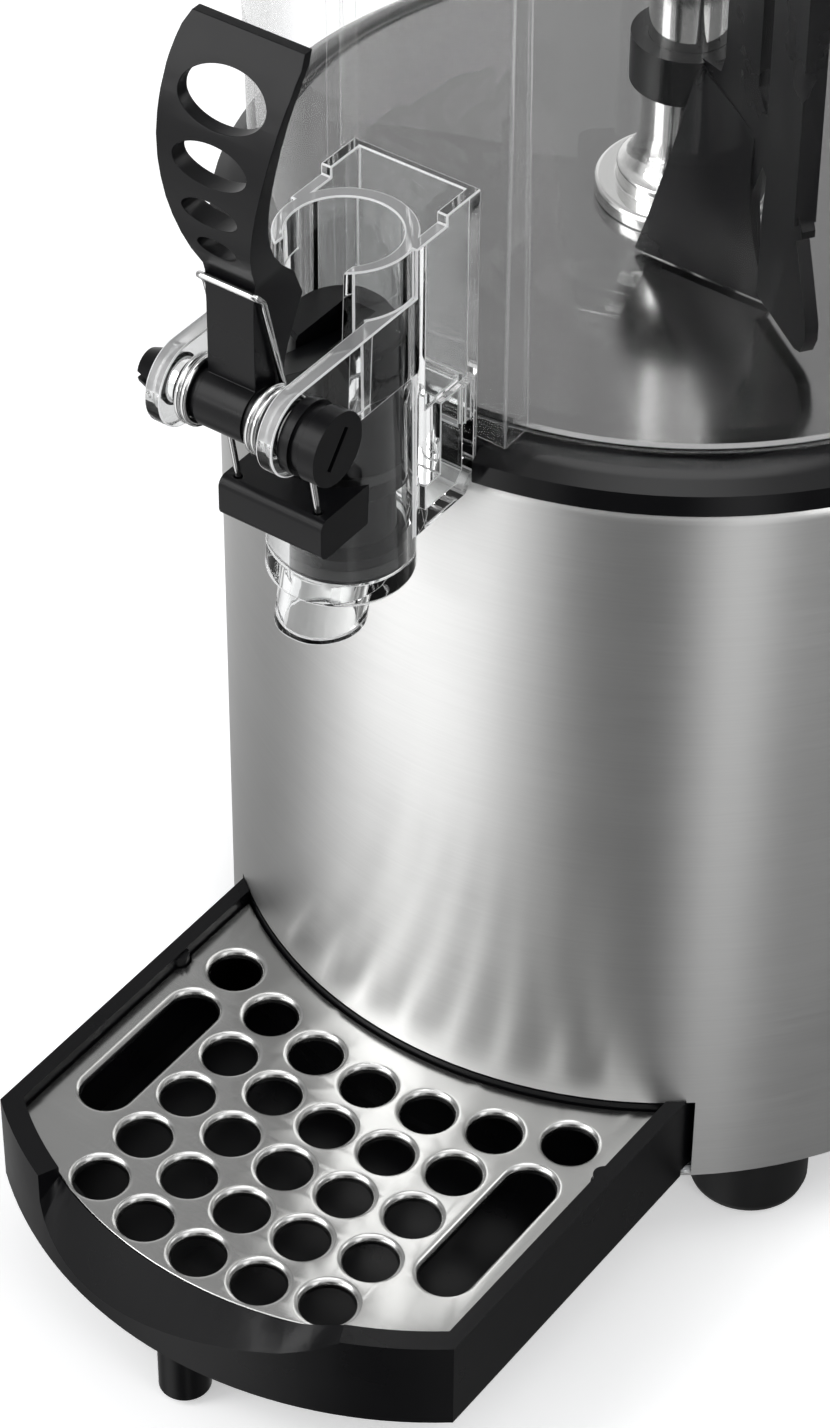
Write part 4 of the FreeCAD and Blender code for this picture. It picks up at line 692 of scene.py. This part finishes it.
    def add_lamp(self, name: str, at: Triple, size: Pair, watts: float) -> None:
        """Add one soft area lamp aimed at the middle of the machine.

        Args:
            name: Lamp name.
            at: Place in metres.
            size: Width and height in metres.
            watts: Power.
        """
        data = bpy.data.lights.new(name, "AREA")
        data.shape = "RECTANGLE"
        data.size, data.size_y = size
        data.energy = watts
        lamp = add_object(name, data)
        lamp.location = at
        aim = Vector((0.0, 0.0, self.aim_height)) - Vector(at)
        lamp.rotation_euler = aim.to_track_quat("-Z", "Y").to_euler()

    def build(self) -> None:
        """Build the whole stage."""
        bpy.context.scene.view_settings.view_transform = "Standard"
        self.build_camera()
        self.build_floor()
        self.build_world()
        for lamp in self.lamps:
            self.add_lamp(*lamp)


# ---- machine ----
@dataclass
class Workshop:
    """Holds the built finishes and where each node belongs, and dresses nodes."""

    materials: dict[str, Material] = field(default_factory=dict)
    slots: dict[str, str] = field(default_factory=dict)
    body_of: dict[str, str] = field(default_factory=dict)

    def prepare(self, record: dict) -> None:
        """Build the finishes, read each node's slot and body, and finish every node's own object.

        Args:
            record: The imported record.
        """
        self.materials = {slot: finish.build() for slot, finish in FINISHES.items()}
        self.slots = {part["node"]: part["material_slot"] for part in record["subparts"]}
        for body, nodes in record["behaviour"]["bodies"].items():
            self.body_of.update({node: body for node in nodes})
        for node, slot in self.slots.items():
            source = bpy.data.objects[node]
            source.data.materials.clear()
            source.data.materials.append(self.materials[slot])

    def smooth(self, node: str, look: Look = Look.MOULDED,
               material: Material | None = None) -> bpy.types.Object:
        """Stand a copy with shared vertices and smooth curved faces in for a node.

        Args:
            node: Node name.
            look: Angle from which an edge stays sharp.
            material: Finish, where it isn't the slot's usual one.

        Returns:
            The new object.
        """
        points, triangles = merged_mesh(node)
        slot = self.slots[node]
        piece = mesh_object(node + "_skin", points, triangles, material or self.materials[slot],
                            self.body_of[node], look)
        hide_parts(node)
        LOG.info("%s: %d triangles", node, len(triangles))
        return piece

    def eased(self, node: str, width_mm: float, segments: int = 2,
              edge: Material | None = None) -> bpy.types.Object:
        """Stand a copy with rounded edges in for a node.

        Args:
            node: Node name.
            width_mm: Width of the rounding.
            segments: Facets across the rounding.
            edge: Finish of the rounding where it carries a painted highlight, whiter than the faces beside
                it.

        Returns:
            The new object.
        """
        piece = self.smooth(node, Look.MOULDED)
        ease_edges(piece, width_mm, segments, edge)
        return piece


@dataclass
class Assembly:
    """Pieces that are dressed from their nodes: round ones, plain ones and ones with eased edges."""

    round_nodes: Names = ()
    plain_nodes: Names = ()
    eased_nodes: Widths = ()   # each with its rounding in millimetres

    def build(self, shop: Workshop) -> None:
        """Dress the listed nodes.

        Args:
            shop: The finishes and the nodes' places.
        """
        for node in self.round_nodes:
            shop.smooth(node, Look.ROUND)
        for node in self.plain_nodes:
            shop.smooth(node, Look.MOULDED)
        for node, width_mm in self.eased_nodes:
            shop.eased(node, width_mm)


@dataclass
class Housing(Assembly):
    """Drum of brushed sheet with its base, feet, screws, seal ring and the works inside."""

    round_nodes: Names = (
        "body_shell", "bowl_seal_ring", "rubber_feet", "water_jacket", "heating_element", "column_nut",
        "lower_bush", "upper_bush", "drive_shaft", "shaft_coupling", "gear_output")
    plain_nodes: Names = (
        "base_plate", "foot_screws", "shell_screws", "splash_wall", "motor_bracket", "terminal_block")
    eased_nodes: Widths = (("gearbox", 1.0), ("motor", 1.5))


@dataclass
class TankFloor(Assembly):
    """Deep-drawn steel floor of the tank with the column's foot and tube."""

    round_nodes: Names = ("column_tube",)
    eased_nodes: Widths = (("column_base", 0.6),)

    def build(self, shop: Workshop) -> None:
        """Dress the floor, in steel toned darker as painted shade, and the column."""
        shop.smooth("tank_floor", Look.MOULDED, SHADED_DEEP_DRAWN.build())
        super().build(shop)


@dataclass
class StirrerSet(Assembly):
    """Moulded stirrer."""

    eased_nodes: Widths = (("stirrer", 0.9),)


@dataclass
class BowlAndLid(Assembly):
    """Clear bowl and lid with the lid's black knob and its screw."""

    plain_nodes: Names = ("lid_knob_screw",)
    eased_nodes: Widths = (("lid_knob", 1.0),)
    edge_mm: float = 0.5

    def build(self, shop: Workshop) -> None:
        """Dress the bowl and the lid, with a painted highlight on their rounded rims: a finish whiter than
        their walls.

        Args:
            shop: The finishes and the nodes' places.
        """
        thin = THIN_CLEAR.build()
        # painted highlight for the rounded rims
        edge = THIN_EDGE_HIGHLIGHT.build()
        for node in ("bowl", "lid"):
            ease_edges(shop.smooth(node, Look.MOULDED, thin), self.edge_mm, 2, edge)
        super().build(shop)


@dataclass
class Tap(Assembly):
    """Clear tap with its piston, pivot pin, handle, spring and spring bar."""

    round_nodes: Names = ("piston_seals", "piston_pin")
    plain_nodes: Names = ("tap_piston",)
    eased_nodes: Widths = (("lever_pin", 0.6), ("spring_bar", 0.8))
    pivot: Pair = (-212.7, 349.0)
    foot: Triple = (13.2, -195.0, 303.0)
    coil_radius: float = 9.1
    coil_turns: float = 2.0
    coil_points: int = 80
    coil_inner: float = 9.2     # distance of the coil's inner end from the middle
    coil_lean: float = 12.0     # degrees above the level at which the coil starts
    rise_y: float = 0.1         # the straight run up to the crossbar ends this far behind the pivot
    rise_z: float = 385.0
    crossbar: Pair = (-215.6, 388.0)
    wire_radius: float = 0.95
    wire_resolution: int = 4
    step_mm: float = 0.8
    corner_mm: float = 3.2
    bend: Pair = (-9.0, 12.0)   # heights from the pivot between which the spring bends
    body_edge_mm: float = 0.45
    lever_edge_mm: float = 1.2
    rim_mm: float = 7.0         # faces narrower than this are rims
    highlight_tilt: float = 0.25      # least upward part of the normal of a rim that gets the painted highlight
    rim_top: float = 379.0      # the box's flat top lies above this

    def half_path(self) -> np.ndarray:
        """Work out half of the spring's line, from one foot to the middle of the crossbar.

        The coil is a helix about the pivot; straight runs join it to the foot and, over one round
        corner, to the crossbar.

        Returns:
            Points as an (n, 3) array in millimetres.
        """
        y0, z0 = self.pivot
        turn = np.linspace(0.0, self.coil_turns, self.coil_points)
        angle = math.radians(self.coil_lean) + 2 * math.pi * turn
        x = self.foot[0] + (self.coil_inner - self.foot[0]) * turn / self.coil_turns
        radius = self.coil_radius
        coil = np.stack([x, y0 + radius * np.cos(angle), z0 + radius * np.sin(angle)], axis=1)
        bar_y, bar_z = self.crossbar
        ends = np.array([[self.coil_inner, y0 + self.rise_y, self.rise_z],
                         [self.coil_inner, bar_y, bar_z], [0.0, bar_y, bar_z]])
        return np.concatenate([np.array([self.foot]), coil, ends])

    def wire_line(self) -> np.ndarray:
        """Work out the whole spring's line with rounded corners.

        The line is read at equal steps along its length, and each point moves to the mean of its
        neighbours within the corner length, which rounds the corners.

        Returns:
            Points as an (n, 3) array in millimetres.
        """
        half = self.half_path()
        line = np.concatenate([half, (half * np.array([-1.0, 1.0, 1.0]))[-2::-1]])
        along = np.concatenate([[0.0], np.cumsum(np.linalg.norm(np.diff(line, axis=0), axis=1))])
        steps = np.linspace(0.0, along[-1], int(along[-1] / self.step_mm))
        even = np.stack([np.interp(steps, along, line[:, axis]) for axis in range(3)], axis=1)
        count = int(self.corner_mm / self.step_mm)
        padded = np.pad(even, ((count // 2, count - 1 - count // 2), (0, 0)), mode="edge")
        kernel = np.ones(count) / count
        return np.stack([np.convolve(padded[:, axis], kernel, mode="valid") for axis in range(3)], axis=1)

    def build_spring(self, shop: Workshop) -> None:
        """Sweep a round wire along the spring's line.

        Args:
            shop: The finishes and the nodes' places.
        """
        line = place(self.wire_line())
        curve = bpy.data.curves.new("spring line", "CURVE")
        curve.dimensions = "3D"
        curve.bevel_depth = self.wire_radius * MM
        curve.bevel_resolution = self.wire_resolution
        curve.use_fill_caps = True
        spline = curve.splines.new("POLY")
        spline.points.add(len(line) - 1)
        spline.points.foreach_set("co", np.column_stack([line, np.ones(len(line))]).ravel())
        carrier = add_object("spring line", curve)
        bpy.context.view_layer.update()
        mesh = bpy.data.meshes.new_from_object(carrier.evaluated_get(bpy.context.evaluated_depsgraph_get()))
        bpy.data.objects.remove(carrier)
        shade_smooth(mesh)
        mesh.materials.clear()
        mesh.materials.append(shop.materials["spring_steel"])
        spring = add_object("handle_spring", mesh)
        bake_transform(spring)
        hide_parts("return_spring")
        LOG.info("spring: %d points along its line", len(line))

    def paint_rim_highlights(self, mesh: bpy.types.Mesh) -> None:
        """Paint a highlight on the narrow faces that look up: they get a whiter, less clear finish than the
        walls.

        A face's width is taken as twice its area over the length around it.

        Args:
            mesh: Mesh of the tap's body.
        """
        mesh.materials.append(CLEAR_RIM_HIGHLIGHT.build())
        for face in mesh.polygons:
            ring = [mesh.vertices[i].co for i in face.vertices]
            around = sum((a - b).length for a, b in zip(ring, ring[1:] + ring[:1]))
            narrow = 2.0 * face.area < self.rim_mm * MM * around
            if narrow and face.normal.z > self.highlight_tilt and face.center.z < self.rim_top * MM:
                face.material_index = len(mesh.materials) - 1

    def build(self, shop: Workshop) -> None:
        """Dress the tap.

        Args:
            shop: The finishes and the nodes' places.
        """
        # The tap's rounded edges and its upward rims carry painted highlights.
        body = shop.eased("tap_body", self.body_edge_mm, 3, CLEAR_EDGE_HIGHLIGHT.build())
        self.paint_rim_highlights(body.data)
        shop.eased("tap_lever", self.lever_edge_mm, 3)
        super().build(shop)
        self.build_spring(shop)


@dataclass
class TrayGrille:
    """Pressed grille: a bowed sheet with rolled drain holes and two finger slots."""

    half: float = 79.5
    front_r: float = 129.6
    front_y: float = -123.0
    back_r: float = 137.6
    top: float = 52.0
    sheet: float = 1.5
    skirt: float = 2.9
    hole_r: float = 8.15
    roll: float = 2.15
    roll_deep: float = 2.5
    wall: float = 0.9
    pitch: float = 21.3
    row_r: float = 133.0
    first_row_y: float = -156.4
    rows: tuple[int, ...] = (7, 5, 5, 5, 5)
    slot_x: float = 64.0
    slot_drop: float = 27.0
    slot_length: float = 42.5
    clip_notch: float = 3.7
    clip_x: float = 81.1
    clip_y: float = -147.0
    edge: float = 0.5
    around: int = 48          # points around an opening
    arc_points: int = 60      # points along the front and the back
    notch_points: int = 15
    lip_points: int = 9       # outlines down a lip

    def openings(self) -> list[Triple]:
        """List the openings, the round holes row by row and then the two slots.

        Each row lies on an arc, its middle hole nearest the front.

        Returns:
            Centre x, centre y and half length of each; a round hole has no length.
        """
        found = []
        for row, count in enumerate(self.rows):
            x = (np.arange(count) - count // 2) * self.pitch
            y = self.first_row_y - row * self.pitch + self.row_r - np.sqrt(self.row_r ** 2 - x * x)
            found += [(float(a), float(b), 0.0) for a, b in zip(x, y)]
        slot_y = self.first_row_y - self.slot_drop
        return found + [(side * self.slot_x, slot_y, self.slot_length / 2) for side in (-1, 1)]

    def ring(self, opening: Triple, radius: float) -> np.ndarray:
        """Give the outline of an opening at one radius.

        It is a circle cut in two and drawn apart by the opening's length.

        Args:
            opening: Centre x, centre y and half length.
            radius: Radius of the round ends.

        Returns:
            Points as an (n, 2) array, anticlockwise.
        """
        x, y, half = opening
        angle = (np.arange(self.around) + 0.5) * 2 * math.pi / self.around
        up = np.sin(angle)
        return np.stack([x + radius * np.cos(angle), y + radius * up + half * np.sign(up)], axis=1)

    def outline(self, inset: float) -> np.ndarray:
        """Give the sheet's outer edge, moved inwards by an inset.

        Straight sides join an arc in front to an arc behind that follows the drum; each side has a
        round notch for a clip.

        Args:
            inset: Distance inwards in millimetres.

        Returns:
            Points as an (n, 2) array, anticlockwise from the front left corner.
        """
        half = self.half - inset
        front_r = self.front_r - inset
        back_r = self.back_r + inset
        reach = math.asin(half / front_r)
        angle = np.linspace(-reach, reach, self.arc_points)
        front = np.stack([front_r * np.sin(angle), self.front_y - front_r * np.cos(angle)], axis=1)
        notch_r = self.clip_notch + inset
        spread = math.acos((self.clip_x - half) / notch_r)
        angle = np.linspace(-spread, spread, self.notch_points)
        notch = np.stack([self.clip_x - notch_r * np.cos(angle), self.clip_y + notch_r * np.sin(angle)],
                         axis=1)
        reach = math.asin(half / back_r)
        angle = np.linspace(reach, -reach, self.arc_points)
        back = np.stack([back_r * np.sin(angle), -back_r * np.cos(angle)], axis=1)
        left = (notch * np.array([-1.0, 1.0]))[::-1]
        return np.concatenate([front, notch, back, left])

    def sheet_faces(self, inset: float, radius: float, z: float, up: bool) -> tuple[np.ndarray, np.ndarray]:
        """Fill one flat face of the sheet between its edge and its openings.

        Args:
            inset: Distance of the face's edge inside the outline.
            radius: Radius of the openings in this face.
            z: Height of the face.
            up: Whether the face looks up.

        Returns:
            Points and triangles.
        """
        loops = [self.outline(inset)] + [self.ring(opening, radius) for opening in self.openings()]
        points = np.concatenate(loops)
        starts = np.cumsum([0] + [len(loop) for loop in loops])
        edges = [(int(a + i), int(a + (i + 1) % (b - a))) for a, b in zip(starts[:-1], starts[1:])
                 for i in range(b - a)]
        found = delaunay_2d_cdt([Vector(p) for p in points], edges, [], 0, 1e-6)
        flat = np.array([tuple(v) for v in found[0]])
        triangles = np.array([list(f) for f in found[2]])
        middle = flat[triangles].mean(axis=1)
        keep = self.inside(middle, inset)
        for x, y, half in self.openings():
            dy = np.maximum(np.abs(middle[:, 1] - y) - half, 0.0)
            keep &= np.hypot(middle[:, 0] - x, dy) > radius * math.cos(math.pi / self.around)
        triangles = triangles[keep]
        a, b, c = (flat[triangles[:, i]] for i in range(3))
        turn = (b[:, 0] - a[:, 0]) * (c[:, 1] - a[:, 1]) - (b[:, 1] - a[:, 1]) * (c[:, 0] - a[:, 0])
        wrong = (turn > 0) != up
        triangles[wrong] = triangles[wrong][:, ::-1]
        return np.column_stack([flat, np.full(len(flat), z)]), triangles

    def inside(self, points: np.ndarray, inset: float) -> np.ndarray:
        """Tell which points lie within the sheet's outline.

        Args:
            points: Points as an (n, 2) array.
            inset: Distance of the edge inside the outline.

        Returns:
            A boolean array.
        """
        x, y = points[:, 0], points[:, 1]
        notch = np.hypot(np.abs(x) - self.clip_x, y - self.clip_y) > self.clip_notch + inset
        return ((np.abs(x) < self.half - inset) & (np.hypot(x, y - self.front_y) < self.front_r - inset)
                & (np.hypot(x, y) > self.back_r + inset) & notch)

    def band(self, loops: list[np.ndarray], heights: list[float],
             outwards: bool) -> tuple[np.ndarray, np.ndarray]:
        """Join closed loops of equal count into a band of quads.

        Args:
            loops: Outlines from the band's first edge to its last.
            heights: Height of each outline.
            outwards: Whether the band faces away from the loops' middle where it runs downwards.

        Returns:
            Points and quads.
        """
        count = len(loops[0])
        points = np.concatenate([np.column_stack([loop, np.full(count, z)])
                                 for loop, z in zip(loops, heights)])
        row, column = np.meshgrid(np.arange(len(loops) - 1), np.arange(count), indexing="ij")
        a = (row * count + column).ravel()
        b = (row * count + (column + 1) % count).ravel()
        quads = np.stack([a, a + count, b + count, b], axis=1)
        return points, quads if outwards else quads[:, ::-1]

    def build(self, shop: Workshop) -> None:
        """Build the grille and stand it in for its node.

        Each opening's lip is a quarter ellipse in section, from the flat sheet down into a short
        upright wall; below the sheet the wall shows as a low collar.

        Args:
            shop: The finishes and the nodes' places.
        """
        under = self.top - self.sheet
        tip = self.top - self.skirt
        parts = [self.sheet_faces(self.edge, self.hole_r + self.roll, self.top, True),
                 self.sheet_faces(0.0, self.hole_r + self.wall, under, False)]
        quarter = np.linspace(0.0, math.pi / 2, self.lip_points)
        rim = [self.outline(self.edge * float(1 - math.sin(t))) for t in quarter[::2]]
        drop = [self.top - self.edge * float(1 - math.cos(t)) for t in quarter[::2]]
        parts.append(self.band(rim + [self.outline(0.0)], drop + [under], True))
        for opening in self.openings():
            radii = [self.hole_r + self.roll * float(1 - math.sin(t)) for t in quarter]
            fall = [self.top - self.roll_deep * float(1 - math.cos(t)) for t in quarter]
            outer = self.hole_r + self.wall
            loops = [self.ring(opening, r) for r in radii + [self.hole_r, outer, outer]]
            parts.append(self.band(loops, fall + [tip, tip, under], False))
        points, faces = [], []
        for part_points, part_faces in parts:
            faces += (part_faces + sum(map(len, points))).tolist()
            points.append(part_points)
        merged, index = merge_points(np.concatenate(points), GRILLE_CELLS)
        faces = [index[face] for face in faces]
        piece = mesh_object("pressed_grille", place(merged), faces, SATIN.build(), "grille", Look.ROUND)
        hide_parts("tray_grille")
        LOG.info("grille: %d faces", len(faces))


@dataclass
class DripTray(Assembly):
    """Black tray."""

    eased_nodes: Widths = (("drip_tray", 0.7),)


@dataclass
class Controls(Assembly):
    """Panel at the back with the thermostat, rocker switch, lamp and cable gland."""

    eased_nodes: Widths = (
        ("control_panel", 0.4), ("thermostat", 0.8), ("thermostat_knob", 0.8), ("switch_frame", 0.4),
        ("rocker_switch", 0.6), ("pilot_lamp", 0.4), ("cable_gland", 0.5))


def main() -> None:
    """Build the stage and dress the machine, sub-assembly by sub-assembly."""
    logging.basicConfig(level=logging.INFO, format="%(name)s: %(message)s")
    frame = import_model()
    Studio().build()
    shop = Workshop()
    shop.prepare(frame["record"])
    for assembly in (Housing(), TankFloor(), StirrerSet(), BowlAndLid(), Tap(), TrayGrille(), DripTray(),
                     Controls()):
        assembly.build(shop)
        LOG.info("%s done", type(assembly).__name__)
    bpy.context.view_layer.update()


if __name__ == "__main__":
    main()
